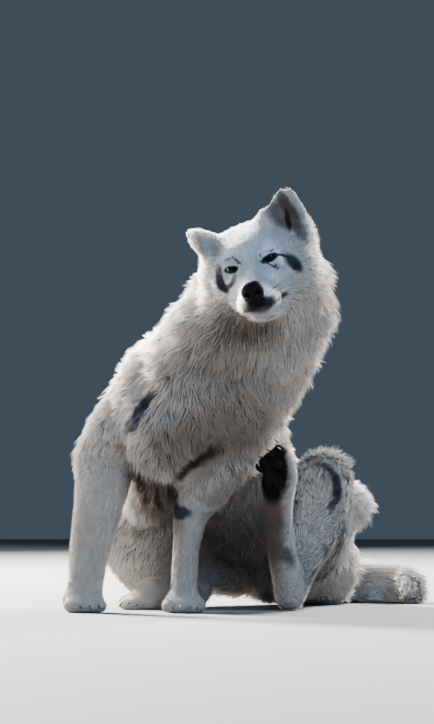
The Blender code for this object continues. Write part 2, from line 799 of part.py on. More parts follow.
# Each piece, in the order of the cuts: its name, its detail, and the shape that takes it off the rest.
PARTINGS = (
    ("forepaw_right", "fine", box, WRIST_RIGHT, DOWN, RIGHT, (-0.09, -0.07, 0), (0.09, 0.11, 0.10)),
    ("forepaw_left", "fine", box, WRIST_LEFT, DOWN, RIGHT, (-0.055, -0.08, 0), (0.07, 0.11, 0.10)),
    ("forearm_right", "plain", sleeve, FORELEG_RIGHT, 2.2, 7.6, SPARE),
    ("upper_arm_right", "plain", sleeve, FORELEG_RIGHT, 0.2, 2.3, 0.016),
    ("forearm_left", "plain", sleeve, FORELEG_LEFT, 2.4, 7.6, SPARE),
    ("upper_arm_left", "plain", sleeve, FORELEG_LEFT, 1.1, 2.5, SPARE),
    (
        "hind_paw_left",
        "fine",
        box,
        HOCK_LEFT,
        FOOT_UP,
        FOOT_FRONT,
        (-0.045, -0.062, 0),
        (0.062, 0.040, 0.100),
    ),
    ("metatarsus_left", "plain", sleeve, METATARSUS_LEFT, -1.2, 4.2, SPARE),
    ("shin_left", "plain", sleeve, SHIN_LEFT, 0.7, 6.0, SPARE),
    ("thigh_left", "plain", sleeve, THIGH_LEFT, 0.3, 5.0, SPARE),
    ("hind_paw_right", "fine", sleeve, METATARSUS_RIGHT, 2.8, 6.0, 0.036),
    ("metatarsus_right", "plain", sleeve, METATARSUS_RIGHT, -1.5, 3.0, SPARE),
    ("shin_right", "plain", sleeve, SHIN_RIGHT, 0.1, 4.0, SPARE),
    ("thigh_right", "plain", sleeve, THIGH_RIGHT, 0.3, 3.6, 0.011),
)


def head_partings(head):
    """The cuts of the ears, head, neck and tail, as PARTINGS."""
    turn = head.to_3x3()

    def ear_cut(name, sides):
        axis = Vector(sides["tip"]) - Vector(sides["base"])
        across = axis.cross(Vector(sides["facing"]))
        at = head @ (Vector(sides["base"]) + axis.normalized() * EAR_SINK)
        return (name, "fine", box, at, turn @ axis, turn @ across, *EAR_CUT)

    return (
        ear_cut("ear_left", EAR_LEFT),
        ear_cut("ear_right", EAR_RIGHT),
        ("head", "fine", box, head @ NAPE, turn @ NAPE_UP, turn @ Vector(RIGHT), *WIDE),
        ("neck", "plain", box, THROAT, NECK_UP, RIGHT, *WIDE),
        ("tail", "plain", box, TAIL_ROOT, TAIL_BACK, RIGHT, *WIDE),
    )


def floored(bodies):
    """Cuts the bodies off flat at the floor, where they are pressed a little into it."""
    floor = cutter(box((0, 0, 0), DOWN, RIGHT, (-1, -1, 0), (1, 1, 0.1)))
    for body in bodies.values():
        boolean(body, floor, "DIFFERENCE")
    bpy.data.objects.remove(floor)


def set_hard_pieces(head):
    """The eyes, set in their sockets, and the nose, claws and pads, laid on the flesh."""
    skull_flesh = bpy.data.objects["head"]
    lay(placed(nose_mesh(), head), "nose", "nose_leather", skull_flesh)
    for name, side in (("left", 1), ("right", -1)):
        splay = Matrix.Rotation(EYE_SPLAY * side, 3, "Z")
        centre = Vector((EYE_AT.x * side, EYE_AT.y, EYE_AT.z))
        opening = mass(centre + splay @ Vector((0, -EYE_RADIUS, 0)), EYE_OPENING, splay, around=14, down=8)
        hole = cutter(placed(opening, head))
        boolean(skull_flesh, hole, "DIFFERENCE")
        bpy.data.objects.remove(hole)
        eye = mass(centre, (EYE_RADIUS, EYE_RADIUS, EYE_RADIUS), around=12, down=8)
        seat(placed(eye, head), f"eye_{name}", "eye", skull_flesh)
    for name, matrix in FEET.items():
        flesh = bpy.data.objects[name]
        for number, toe in enumerate(toes_of(name), 1):
            lay(placed(claw(*toe), matrix), f"claw_{name}_{number}", "claw_horn", flesh)
    lifted = FEET[LIFTED_FOOT]
    for name, mesh in pads().items():
        lay(placed(mesh, lifted), f"pad_{name}", "pad_leather", bpy.data.objects[LIFTED_FOOT])


def centre_on_floor():
    """Moves the model so that its origin is the middle of its box, at the floor."""
    solids = [thing for thing in bpy.data.objects if not thing.hide_render]
    corners = np.array([vert.co for solid in solids for vert in solid.data.vertices])
    middle = (corners.min(axis=0) + corners.max(axis=0)) / 2
    for solid in solids:
        solid.data.transform(Matrix.Translation((-middle[0], -middle[1], 0)))


def build():
    """Makes the wolf and parts it."""
    clear_scene()
    head = head_matrix()
    whole = wolf_body()
    bodies = {
        "fine": thinned(whole, "fine", FINE_TRIANGLES),
        "plain": thinned(whole, "trunk", PLAIN_TRIANGLES),
    }
    bpy.data.objects.remove(whole)
    floored(bodies)
    for parting in PARTINGS + head_partings(head):
        part_off(bodies, *parting)
    bpy.data.objects.remove(bodies["fine"])
    tidied(bodies["plain"])
    set_hard_pieces(head)
    centre_on_floor()


if __name__ == "__main__":
    build()
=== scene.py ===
"""The looks of a seated arctic wolf: its skin, its coat of tufts, and its eyes, nose, pads and claws.

Metres, +Z up, the floor at Z = 0, the wolf looking along -Y.  Everything rides on the CAD's one body.
"""

import logging
import math
from dataclasses import astuple, dataclass, field, fields
from enum import Enum
from typing import Sequence

import bmesh
import bpy
import numpy as np
from mathutils import Euler, Matrix, Vector
from mathutils.bvhtree import BVHTree
from mathutils.kdtree import KDTree


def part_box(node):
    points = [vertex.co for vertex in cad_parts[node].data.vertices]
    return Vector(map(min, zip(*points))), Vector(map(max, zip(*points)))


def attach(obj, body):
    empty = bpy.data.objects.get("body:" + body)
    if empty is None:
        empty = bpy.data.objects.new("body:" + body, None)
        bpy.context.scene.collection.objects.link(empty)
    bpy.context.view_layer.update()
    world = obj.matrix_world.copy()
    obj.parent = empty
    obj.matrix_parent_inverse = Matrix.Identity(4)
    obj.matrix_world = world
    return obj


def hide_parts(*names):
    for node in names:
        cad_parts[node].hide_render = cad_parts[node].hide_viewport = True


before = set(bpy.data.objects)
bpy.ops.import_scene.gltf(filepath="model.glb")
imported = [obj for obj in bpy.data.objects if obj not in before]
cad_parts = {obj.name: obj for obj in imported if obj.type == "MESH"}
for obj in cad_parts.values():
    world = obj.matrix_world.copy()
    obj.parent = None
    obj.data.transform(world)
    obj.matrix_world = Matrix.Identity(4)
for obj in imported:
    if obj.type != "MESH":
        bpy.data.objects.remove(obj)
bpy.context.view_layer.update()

BODY = "root"
BAKE_MAP = "OFBake"
LOG = logging.getLogger("wolf")

Rows = np.ndarray
Colour = tuple[float, float, float]


class Side(Enum):
    """The wolf's own sides, as signs of the head's X axis."""

    LEFT = 1
    RIGHT = -1

    @property
    def word(self) -> str:
        """The side's word in a node's name."""
        return self.name.lower()


PAIRED_PARTS = ("upper_arm", "forearm", "forepaw", "thigh", "shin", "metatarsus", "hind_paw")
LEG_PARTS = tuple(f"{part}_{side.word}" for side in Side for part in PAIRED_PARTS)
EARS = ("ear_left", "ear_right")
FLESH = ("head", *EARS, "neck", "trunk", "tail", *LEG_PARTS)


# --- Arithmetic on arrays --------------------------------------------------------------------------


def middle(node: str) -> Vector:
    """The middle of a CAD node's box."""
    low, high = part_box(node)
    return (low + high) / 2


def unit(rows: Rows) -> Rows:
    """Each row scaled to length one."""
    return rows / np.maximum(np.linalg.norm(rows, axis=-1, keepdims=True), 1e-9)


def dot(a: Rows, b: Rows) -> Rows:
    """Row by row dot product, kept as a column."""
    return (a * b).sum(-1, keepdims=True)


def ease(value: Rows, low: float, high: float) -> Rows:
    """A smooth step from 0 at low to 1 at high."""
    share = np.clip((value - low) / (high - low), 0, 1)
    return share * share * (3 - 2 * share)


def bell(off: Rows, width: float, power: int = 2) -> Rows:
    """A bump of height 1 where off is 0, which has faded at about twice the width."""
    return np.exp(-((off / width) ** power))


def of_nodes(owner: Rows, *nodes: str) -> Rows:
    """Whether each number in FLESH is one of these nodes'."""
    return np.isin(owner, [FLESH.index(node) for node in nodes])


@dataclass(frozen=True)
class HeadFrame:
    """The head's own axes, found from the eyes and nose: +X to its left, -Y to the nose, +Z to the crown."""

    origin: Vector
    turn: Matrix

    EYE = Vector((0.0370, -0.0090, 0.0))
    NOSE = Vector((0.0, -0.1213, -0.0383))

    @classmethod
    def found(cls) -> "HeadFrame":
        """The frame in which the CAD's eyes and nose lie at EYE and NOSE.

        Returns:
            The head's frame.
        """
        left, right = middle("eye_left"), middle("eye_right")
        across = (left - right).normalized()
        ahead = middle("nose") - (left + right) / 2
        ahead = (ahead - ahead.dot(across) * across).normalized()
        over = across.cross(ahead)
        reach = cls.NOSE - Vector((0, cls.EYE.y, cls.EYE.z))
        dip = math.atan2(-reach.z, -reach.y)
        back = -math.cos(dip) * ahead + math.sin(dip) * over
        up = across.cross(back)
        turn = Matrix((across, back, up)).transposed()
        return cls((left + right) / 2 - turn @ Vector((0, cls.EYE.y, cls.EYE.z)), turn)

    def world(self, place: Sequence[float]) -> Vector:
        """A place in the head's frame as one in the model's."""
        return self.origin + self.turn @ Vector(place)

    def local(self, points: Rows) -> Rows:
        """Points of the model in the head's frame."""
        return (points - np.array(self.origin)) @ np.array(self.turn)

    def worlds(self, points: Rows) -> Rows:
        """Points of the head's frame in the model's."""
        return points @ np.array(self.turn).T + np.array(self.origin)


HEAD = HeadFrame.found()

# From the plan that the markings were drawn on, where the head's origin is at PLAN_HEAD, to the model.
PLAN_HEAD = Vector((0.0660, -0.170, 0.671))
PLAN_SHIFT = HEAD.origin - PLAN_HEAD


# --- Meshes ----------------------------------------------------------------------------------------


@dataclass
class Surface:
    """A triangle mesh as arrays, with what is needed to smooth numbers over it."""

    points: Rows
    triangles: Rows

    def __post_init__(self) -> None:
        """Finds the edges and how many meet at each point."""
        t = self.triangles
        pairs = np.sort(np.concatenate([t[:, [0, 1]], t[:, [1, 2]], t[:, [2, 0]]]), axis=1)
        self.edges = np.unique(pairs, axis=0)
        self.count = np.maximum(np.bincount(self.edges.ravel(), minlength=len(self.points)), 1)

    @classmethod
    def of(cls, obj: bpy.types.Object) -> "Surface":
        """The arrays of an object's triangulated mesh.

        Args:
            obj: The object.

        Returns:
            The surface.
        """
        mesh = obj.data
        mesh.calc_loop_triangles()
        points = np.empty(len(mesh.vertices) * 3, np.float32)
        mesh.vertices.foreach_get("co", points)
        triangles = np.empty(len(mesh.loop_triangles) * 3, np.int32)
        mesh.loop_triangles.foreach_get("vertices", triangles)
        return cls(points.reshape(-1, 3).astype(float), triangles.reshape(-1, 3))

    def face_normals(self) -> Rows:
        """The triangles' normals, twice as long as their areas."""
        a, b, c = (self.points[self.triangles[:, k]] for k in range(3))
        return np.cross(b - a, c - a)

    def normals(self) -> Rows:
        """Works out the points' normals.

        Returns:
            One row of length one for each point.
        """
        faces = self.face_normals()
        total = np.zeros_like(self.points)
        for axis in range(3):
            for corner in range(3):
                total[:, axis] += np.bincount(self.triangles[:, corner], faces[:, axis], len(self.points))
        return unit(total)

    def smoothed(self, values: Rows, rounds: int, share: float | Rows = 0.5) -> Rows:
        """Numbers at the points, drawn towards their neighbours' mean.

        Args:
            values: One row for each point.
            rounds: How many times.
            share: How far each time, for all points or for each.

        Returns:
            The smoothed rows.
        """
        a, b = self.edges.T
        values = values.reshape(len(self.points), -1).astype(float)
        for _ in range(rounds):
            mean = np.empty_like(values)
            for k in range(values.shape[1]):
                column = values[:, k]
                gathered = np.bincount(a, column[b], len(values)) + np.bincount(b, column[a], len(values))
                mean[:, k] = gathered / self.count
            values = values + share * (mean - values)
        return values


def linked(mesh: bpy.types.Mesh) -> bpy.types.Object:
    """An object of the mesh's name, linked to the scene.

    Args:
        mesh: The mesh.

    Returns:
        The object.
    """
    obj = bpy.data.objects.new(mesh.name, mesh)
    bpy.context.scene.collection.objects.link(obj)
    return obj


def built(name: str, bm: bmesh.types.BMesh) -> bpy.types.Object:
    """An object of a bmesh, which is freed.

    Args:
        name: The mesh's and the object's name.
        bm: The bmesh.

    Returns:
        The object, linked to the scene.
    """
    mesh = bpy.data.meshes.new(name)
    bm.to_mesh(mesh)
    bm.free()
    return linked(mesh)


def mesh_object(name: str, points: Rows, triangles: Rows, smooth: bool = True) -> bpy.types.Object:
    """Makes an object of triangles.

    Args:
        name: The object's name.
        points: The corners' places.
        triangles: Three corner numbers for each face.
        smooth: Whether its faces are shaded as one smooth surface.

    Returns:
        The object, linked to the scene.
    """
    mesh = bpy.data.meshes.new(name)
    mesh.vertices.add(len(points))
    mesh.vertices.foreach_set("co", points.astype(np.float32).ravel())
    mesh.loops.add(triangles.size)
    mesh.loops.foreach_set("vertex_index", triangles.astype(np.int32).ravel())
    mesh.polygons.add(len(triangles))
    mesh.polygons.foreach_set("loop_start", np.arange(0, triangles.size, 3, dtype=np.int32))
    mesh.polygons.foreach_set("use_smooth", np.full(len(triangles), smooth))
    mesh.update(calc_edges=True)
    return linked(mesh)


def settled(obj: bpy.types.Object) -> None:
    """Puts the object's evaluated mesh in place of its mesh and modifiers.

    Args:
        obj: The object.
    """
    graph = bpy.context.evaluated_depsgraph_get()
    mesh = bpy.data.meshes.new_from_object(obj.evaluated_get(graph))
    obj.modifiers.clear()
    obj.data = mesh


def merged_copy(node: str, grow: float = 0.0) -> bmesh.types.BMesh:
    """A CAD node's loose triangles as one closed surface, moved out along its normals by grow.

    Args:
        node: The CAD node's name.
        grow: How far out it is moved.

    Returns:
        The surface, for the caller to free.
    """
    bm = bmesh.new()
    bm.from_mesh(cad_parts[node].data)
    bmesh.ops.remove_doubles(bm, verts=bm.verts, dist=1e-6)
    bm.normal_update()
    for vert in bm.verts:
        vert.co += vert.normal * grow
    return bm


# --- Materials -------------------------------------------------------------------------------------


class Wire:
    """A number's socket in a node tree, on which Python arithmetic adds Math nodes."""

    def __init__(self, graph: "Graph", socket: bpy.types.NodeSocket) -> None:
        """Wraps the socket."""
        self.graph = graph
        self.socket = socket

    def _maths(self, operation: str, *values: "Wire | float") -> "Wire":
        """A Math node on these values."""
        return self.graph.node("ShaderNodeMath", {"operation": operation}, dict(enumerate(values)))

    def __add__(self, other: "Wire | float") -> "Wire":
        """The sum."""
        return self._maths("ADD", self, other)

    __radd__ = __add__

    def __sub__(self, other: "Wire | float") -> "Wire":
        """The difference."""
        return self._maths("SUBTRACT", self, other)

    def __rsub__(self, other: float) -> "Wire":
        """The difference, the other way round."""
        return self._maths("SUBTRACT", other, self)

    def __mul__(self, other: "Wire | float") -> "Wire":
        """The product."""
        return self._maths("MULTIPLY", self, other)

    __rmul__ = __mul__

    def stepped(self, low: float, high: float) -> "Wire":
        """A smooth step from 0 at low to 1 at high."""
        values = {"Value": self, "From Min": low, "From Max": high}
        return self.graph.node("ShaderNodeMapRange", {"interpolation_type": "SMOOTHSTEP"}, values, "Result")


class Graph:
    """A material and the one way in which nodes are added to it."""

    def __init__(self, name: str) -> None:
        """Makes the material.

        Args:
            name: The material's name.
        """
        self.material = bpy.data.materials.new(name)
        self.material.use_nodes = True
        self.nodes = self.material.node_tree.nodes
        self.shader = self.nodes["Principled BSDF"]
        self.place = self.node("ShaderNodeTexCoord", {}, {}, "Object")

    def node(self, kind: str, settings: dict, values: dict, output: int | str = 0) -> Wire:
        """Adds a node.

        Args:
            kind: The node's type.
            settings: Its settings, which are set before its sockets.
            values: What its inputs hold, numbers, colours or wires, by name or number.
            output: The output wanted.

        Returns:
            That output.
        """
        made = self.nodes.new(kind)
        for key, value in settings.items():
            setattr(made, key, value)
        for key, value in values.items():
            self.feed(made.inputs[key], value)
        return Wire(self, made.outputs[output])

    def feed(self, socket: bpy.types.NodeSocket, value: "Wire | float | Sequence[float]") -> None:
        """Links or sets an input.

        Args:
            socket: The input.
            value: A wire to link, or a number or colour to set.
        """
        if isinstance(value, Wire):
            self.material.node_tree.links.new(value.socket, socket)
        elif socket.type == "RGBA" and len(value) == 3:
            socket.default_value = (*value, 1)
        else:
            socket.default_value = value

    def mix(self, share: Wire | float, a: "Wire | Colour", b: "Wire | Colour", blend: str = "MIX") -> Wire:
        """A blend of two colours, from a at share 0 to b at share 1."""
        settings = {"data_type": "RGBA", "blend_type": blend}
        return self.node("ShaderNodeMix", settings, {0: share, 6: a, 7: b}, 2)

    def noise(self, scale: float, detail: float) -> Wire:
        """A noise's value, about 0.5 on average."""
        values = {"Vector": self.place, "Scale": scale, "Detail": detail}
        return self.node("ShaderNodeTexNoise", {}, values)

    def shaken(self, scale: float, reach: float) -> Wire:
        """The place in space, moved to and fro by a noise.

        Args:
            scale: The noise's scale.
            reach: The range of the movement along each axis.

        Returns:
            The moved place.
        """
        values = {"Vector": self.place, "Scale": scale, "Detail": 3.0}
        shake = self.node("ShaderNodeTexNoise", {}, values, "Color")
        moved = {0: shake, 1: (reach,) * 3, 2: self.place}
        at = self.node("ShaderNodeVectorMath", {"operation": "MULTIPLY_ADD"}, moved)
        back = {0: at, 1: (reach / 2,) * 3}
        return self.node("ShaderNodeVectorMath", {"operation": "SUBTRACT"}, back)

    def away(self, place: Wire, at: Vector, turn: Euler, size: Sequence[float]) -> Wire:
        """How far a place is from an ellipsoid's middle, as a share of its radii.

        Args:
            place: The place.
            at: The ellipsoid's middle.
            turn: How it is turned.
            size: Its three radii.

        Returns:
            0 at the middle and 1 at its surface.
        """
        values = {"Vector": place, "Location": at, "Rotation": turn, "Scale": size}
        own = self.node("ShaderNodeMapping", {"vector_type": "TEXTURE"}, values)
        return self.node("ShaderNodeVectorMath", {"operation": "LENGTH"}, {0: own}, "Value")

    def bump(self, height: Wire, distance: float, strength: float) -> Wire:
        """A bump's normal."""
        values = {"Height": height, "Distance": distance, "Strength": strength}
        return self.node("ShaderNodeBump", {}, values, "Normal")

    def finish(
        self, colour: Wire, rough: Wire | float, specular: float, normal: Wire | None = None
    ) -> bpy.types.Material:
        """Feeds the shader.

        Args:
            colour: The base colour.
            rough: The roughness.
            specular: The strength of the reflection.
            normal: The bumped normal, or None.

        Returns:
            The material.
        """
        self.feed(self.shader.inputs["Base Color"], colour)
        self.feed(self.shader.inputs["Roughness"], rough)
        self.feed(self.shader.inputs["Specular IOR Level"], specular)
        if normal:
            self.feed(self.shader.inputs["Normal"], normal)
        return self.material


class Zone(Enum):
    """The frame that a marking's places are given in."""

    HEAD = "head"
    BODY = "body"

    def world(self, place: Sequence[float]) -> Vector:
        """The place in the model's frame."""
        return HEAD.world(place) if self is Zone.HEAD else Vector(place) + PLAN_SHIFT


@dataclass(frozen=True)
class Stroke:
    """A marking: a soft-edged ellipsoid of colour from one place to another, as seen from the front."""

    zone: Zone
    start: tuple[float, float, float]
    end: tuple[float, float, float]
    width: float
    colour: Colour
    strength: float
    depth: float
    soft: float

    def share(self, graph: Graph, place: Wire) -> Wire:
        """How much of its colour shows at a place.

        Args:
            graph: The material.
            place: The place, shaken or not.

        Returns:
            The share, from 0 to its strength.
        """
        start, end = self.zone.world(self.start), self.zone.world(self.end)
        along = end - start
        reach = along.length / 2 + self.width
        back = Vector((0, 1, 0))
        along.normalize()
        back = (back - back.dot(along) * along).normalized()
        turn = Matrix((along, back, along.cross(back))).transposed().to_euler()
        inside = 1 - graph.away(place, (start + end) / 2, turn, (reach, self.depth, self.width))
        return inside.stepped(-self.soft / 2, self.soft / 2) * self.strength


def strokes(zone: Zone, marks: Sequence[tuple]) -> list[Stroke]:
    """The strokes of a table of markings, from each place of a row to its next.

    Args:
        zone: The frame of their places.
        marks: The table's rows.

    Returns:
        The strokes.
    """
    found = []
    for colour, width, strength, depth, soft, *places in marks:
        for start, end in zip(places, places[1:]):
            found.append(Stroke(zone, start, end, width, colour, strength, depth, soft))
    return found


SLATE = (0.046, 0.052, 0.084)
HAZE = (0.36, 0.36, 0.43)
INK = (0.010, 0.011, 0.016)
DUSK = (0.022, 0.022, 0.036)
UMBER = (0.040, 0.026, 0.020)
# brown hair: its own colour on the lifted foot, darkened as painted shade on the hem under the chest
BROWN = (0.230, 0.185, 0.155)
# fawn and tan hair, darkened as painted shade on the chest and under the chin; on the turned ear's fold the
# fawn is painted shade alone
FAWN_AND_SHADE = (0.46, 0.375, 0.30)
TAN_AND_SHADE = (0.33, 0.265, 0.215)
# dirty belly hair, darkened as painted shade
MUD_AND_SHADE = (0.330, 0.298, 0.274)
RUST = (0.090, 0.036, 0.030)
SOLE = (0.022, 0.017, 0.015)
# the ears' inner fur, darkened as painted shade of their hollow
EAR_LINING_AND_SHADE = (0.155, 0.120, 0.110)
EAR_SHADE = (0.21, 0.175, 0.165)
EAR_SLIT = (0.035, 0.014, 0.012)

# Markings on the body in the plan's frame, and on the head in its own: their colour, width, strength,
# depth from front to back and softness, and the line of places that they follow.
BODY_MARKS = (
    # broad soft marks of tan, fawn and brown hair and of dirt, all darkened as painted shade: under the
    # chin, on the chest and its lower edge, the belly, and the brown hem under the chest with its dark
    # streaks of deeper painted shade
    (TAN_AND_SHADE, 0.034, 0.75, 0.07, 1.2, (0.01, -0.13, 0.545), (0.085, -0.13, 0.54)),
    (FAWN_AND_SHADE, 0.07, 0.6, 0.1, 1.6, (-0.03, -0.11, 0.48), (0.06, -0.105, 0.4)),
    (TAN_AND_SHADE, 0.055, 0.7, 0.1, 1.5, (-0.11, -0.08, 0.31), (-0.02, -0.06, 0.34)),
    (TAN_AND_SHADE, 0.05, 0.55, 0.1, 1.5, (-0.02, -0.06, 0.34), (0.06, -0.06, 0.35)),
    (MUD_AND_SHADE, 0.08, 0.45, 0.16, 1.1, (0.01, 0.2, 0.25), (0.06, 0.22, 0.18)),
    (MUD_AND_SHADE, 0.085, 0.9, 0.17, 0.9, (-0.02, 0.22, 0.12), (0.09, 0.22, 0.09)),
    (BROWN, 0.042, 0.95, 0.13, 1.0, (-0.155, 0.1, 0.262), (-0.105, 0.12, 0.185)),
    (UMBER, 0.01, 0.95, 0.08, 0.9, (-0.152, 0.09, 0.262), (-0.143, 0.11, 0.2)),
    (UMBER, 0.007, 0.8, 0.08, 0.9, (-0.122, 0.08, 0.24), (-0.112, 0.12, 0.19)),
    # the right shoulder, the left armpit, and inside the left elbow
    (SLATE, 0.0095, 0.95, 0.05, 0.8, (-0.124, -0.045, 0.426), (-0.146, -0.036, 0.393)),
    (SLATE, 0.014, 0.95, 0.05, 0.8, (-0.143, -0.037, 0.4), (-0.16, -0.022, 0.37)),
    (SLATE, 0.0085, 0.9, 0.05, 0.8, (-0.16, -0.022, 0.374), (-0.174, -0.005, 0.352)),
    (UMBER, 0.012, 0.85, 0.06, 1.3, (-0.004, -0.04, 0.312), (-0.034, -0.045, 0.294)),
    (UMBER, 0.008, 0.9, 0.06, 1.2, (-0.03, -0.045, 0.298), (-0.06, -0.045, 0.276), (-0.084, -0.03, 0.248)),
    (RUST, 0.005, 0.6, 0.06, 0.8, (-0.014, -0.04, 0.318), (-0.02, -0.045, 0.306)),
    (UMBER, 0.012, 0.9, 0.07, 0.8, (-0.094, 0.03, 0.252), (-0.086, 0.05, 0.205)),
    (SLATE, 0.014, 0.9, 0.05, 0.7, (-0.084, 0.04, 0.198), (-0.062, 0.04, 0.192)),
    # the left thigh's stripe and smudges, and the spots on the hock
    (SLATE, 0.006, 0.7, 0.035, 0.9, (0.196, 0.14, 0.29), (0.22, 0.135, 0.282)),
    (SLATE, 0.0095, 0.85, 0.035, 0.8,
     (0.222, 0.132, 0.281), (0.237, 0.128, 0.258), (0.238, 0.124, 0.23), (0.227, 0.114, 0.202)),
    (SLATE, 0.012, 0.45, 0.03, 1.2, (0.214, 0.12, 0.118), (0.226, 0.126, 0.112)),
    (SLATE, 0.013, 0.45, 0.05, 1.2, (0.254, 0.2, 0.15), (0.246, 0.19, 0.118)),
    (SLATE, 0.014, 0.75, 0.04, 1.1, (0.122, 0.012, 0.126), (0.146, 0.02, 0.096)),
    # the lifted foot: a brown back of the leg, and a dark sole with dark toes
    (BROWN, 0.028, 0.95, 0.05, 0.9, (0.105, -0.06, 0.235), (0.103, 0.03, 0.085)),
    (SOLE, 0.037, 1.0, 0.07, 0.4, (0.103, -0.08, 0.235), (0.102, -0.112, 0.35)),
)
HEAD_MARKS = (
    # the left ear's lining and its dark side, dark fur darkened further as painted shade of the ear's
    # hollow, and its slit; and painted shade along the fold of the turned ear
    (EAR_SHADE, 0.0235, 0.95, 0.036, 0.7, (0.072, 0.057, 0.07), (0.088, 0.054, 0.054)),
    (EAR_LINING_AND_SHADE, 0.0112, 0.9, 0.03, 0.7, (0.087, 0.058, 0.096), (0.088, 0.06, 0.078)),
    (EAR_LINING_AND_SHADE, 0.012, 0.9, 0.03, 0.8, (0.091, 0.062, 0.076), (0.098, 0.056, 0.038)),
    (EAR_SHADE, 0.011, 0.8, 0.026, 1.0, (0.098, 0.052, 0.035), (0.105, 0.049, 0.01)),
    (EAR_SLIT, 0.0052, 0.95, 0.03, 0.9, (0.0865, 0.064, 0.066), (0.083, 0.05, 0.034)),
    (FAWN_AND_SHADE, 0.0045, 0.6, 0.03, 1.2, (-0.09, 0.06, 0.07), (-0.087, 0.02, 0.03)),
    # the lips, and the space up to the nose filled dark as painted shade under the nose; the mouth's line
    # with its corners; and the chin, with painted shade under the lip
    (INK, 0.0125, 1.0, 0.026, 0.7, (-0.007, -0.127, -0.056), (0.016, -0.124, -0.06)),
    (INK, 0.013, 1.0, 0.03, 0.7, (-0.006, -0.116, -0.069), (0.022, -0.114, -0.07)),
    (SLATE, 0.0075, 0.9, 0.02, 1.2, (0.022, -0.116, -0.063), (0.032, -0.108, -0.064)),
    (UMBER, 0.0075, 0.7, 0.02, 1.2, (-0.015, -0.12, -0.064), (-0.02, -0.114, -0.068)),
    (INK, 0.0026, 0.6, 0.016, 0.8,
     (0.032, -0.108, -0.069), (0.034, -0.101, -0.071), (0.0427, -0.081, -0.068)),
    (INK, 0.0056, 0.95, 0.03, 0.8, (0.0435, -0.07, -0.068), (0.0517, -0.0278, -0.073)),
    (INK, 0.003, 0.6, 0.012, 1.0, (-0.02, -0.114, -0.07), (-0.034, -0.09, -0.0735)),
    (INK, 0.0024, 0.5, 0.012, 1.0, (-0.034, -0.09, -0.0735), (-0.043, -0.033, -0.075)),
    (SLATE, 0.0034, 0.6, 0.014, 1.2, (0.01, -0.075, -0.1), (0.022, -0.055, -0.1037)),
    # painted shade on the chin under the lip
    (HAZE, 0.012, 0.45, 0.03, 1.2, (-0.012, -0.106, -0.086), (0.02, -0.103, -0.087)),
    # a grey haze round the eyes, and their dark rims
    (HAZE, 0.019, 0.6, 0.03, 1.3, (-0.062, -0.006, 0.006), (-0.05, -0.024, -0.02)),
    (HAZE, 0.011, 0.45, 0.022, 1.4, (-0.02, -0.032, 0.008), (-0.02, -0.042, -0.01)),
    (HAZE, 0.009, 0.5, 0.022, 1.4, (-0.048, -0.008, 0.021), (-0.024, -0.026, 0.018)),
    (HAZE, 0.0105, 0.5, 0.022, 1.4, (0.024, -0.028, 0.012), (0.025, -0.042, -0.012)),
    (HAZE, 0.0085, 0.5, 0.022, 1.4, (0.04, -0.036, -0.015), (0.056, -0.024, -0.02)),
    (INK, 0.0078, 1.0, 0.03, 0.35, (0.031, -0.032, 0.001), (0.051, -0.017, 0.0022)),
    (INK, 0.0074, 1.0, 0.032, 0.4, (-0.03, -0.03, 0.001), (-0.048, -0.015, 0.0015)),
    # the patch outside the left eye, and the lines round that eye
    (SLATE, 0.0128, 0.95, 0.024, 0.8, (0.073, -0.003, -0.015), (0.083, 0.003, -0.035)),
    (INK, 0.008, 0.6, 0.02, 1.2, (0.079, -0.001, -0.03), (0.085, 0.006, -0.038)),
    (SLATE, 0.0027, 1.0, 0.018, 0.8,
     (0.051, -0.018, 0.003), (0.058, -0.013, 0.0005), (0.071, -0.002, -0.01)),
    (SLATE, 0.0022, 0.8, 0.016, 0.8,
     (0.031, -0.036, -0.001), (0.038, -0.036, -0.0095), (0.0435, -0.033, -0.0165)),
    (SLATE, 0.0023, 0.8, 0.016, 0.8,
     (0.05, -0.026, -0.0115), (0.0435, -0.033, -0.0165), (0.05, -0.028, -0.022)),
    (SLATE, 0.0022, 0.8, 0.016, 0.8, (0.0245, -0.027, 0.017), (0.024, -0.03, 0.0115)),
    (SLATE, 0.0024, 0.8, 0.016, 0.8, (0.0205, -0.036, 0.0045), (0.026, -0.039, -0.002)),
    (SLATE, 0.0022, 0.8, 0.016, 0.8, (0.044, -0.017, 0.0135), (0.051, -0.014, 0.0145)),
    # the crescent under the right eye, and the line of its brow
    (SLATE, 0.007, 0.9, 0.032, 1.1, (-0.0626, -0.002, 0.009), (-0.069, -0.002, -0.0093)),
    (DUSK, 0.0092, 1.0, 0.032, 0.7, (-0.069, -0.004, -0.0093), (-0.0688, -0.009, -0.0244)),
    (DUSK, 0.0078, 1.0, 0.032, 0.7, (-0.0688, -0.009, -0.0244), (-0.0607, -0.0147, -0.032)),
    (SLATE, 0.0048, 0.95, 0.03, 1.0, (-0.0607, -0.0147, -0.032), (-0.044, -0.0346, -0.0234)),
    (SLATE, 0.0054, 0.8, 0.03, 1.0, (-0.044, -0.034, -0.0234), (-0.034, -0.039, -0.011)),
    (SLATE, 0.003, 0.9, 0.022, 0.8, (-0.0285, -0.021, 0.022), (-0.017, -0.0336, 0.0104)),
    (SLATE, 0.002, 0.75, 0.018, 0.8, (-0.047, -0.008, 0.02), (-0.0285, -0.021, 0.0235)),
)
MARKINGS = strokes(Zone.BODY, BODY_MARKS) + strokes(Zone.HEAD, HEAD_MARKS)


def face_share(graph: Graph) -> Wire:
    """How much a place belongs to the white face.

    Args:
        graph: The material.

    Returns:
        1 on the face, 0 elsewhere.
    """
    size = (0.115, 0.120, 0.120)
    middle_of_face = HEAD.world((0.010, -0.060, 0.000))
    return graph.away(graph.place, middle_of_face, HEAD.turn.to_euler(), size).stepped(1.15, 0.80)


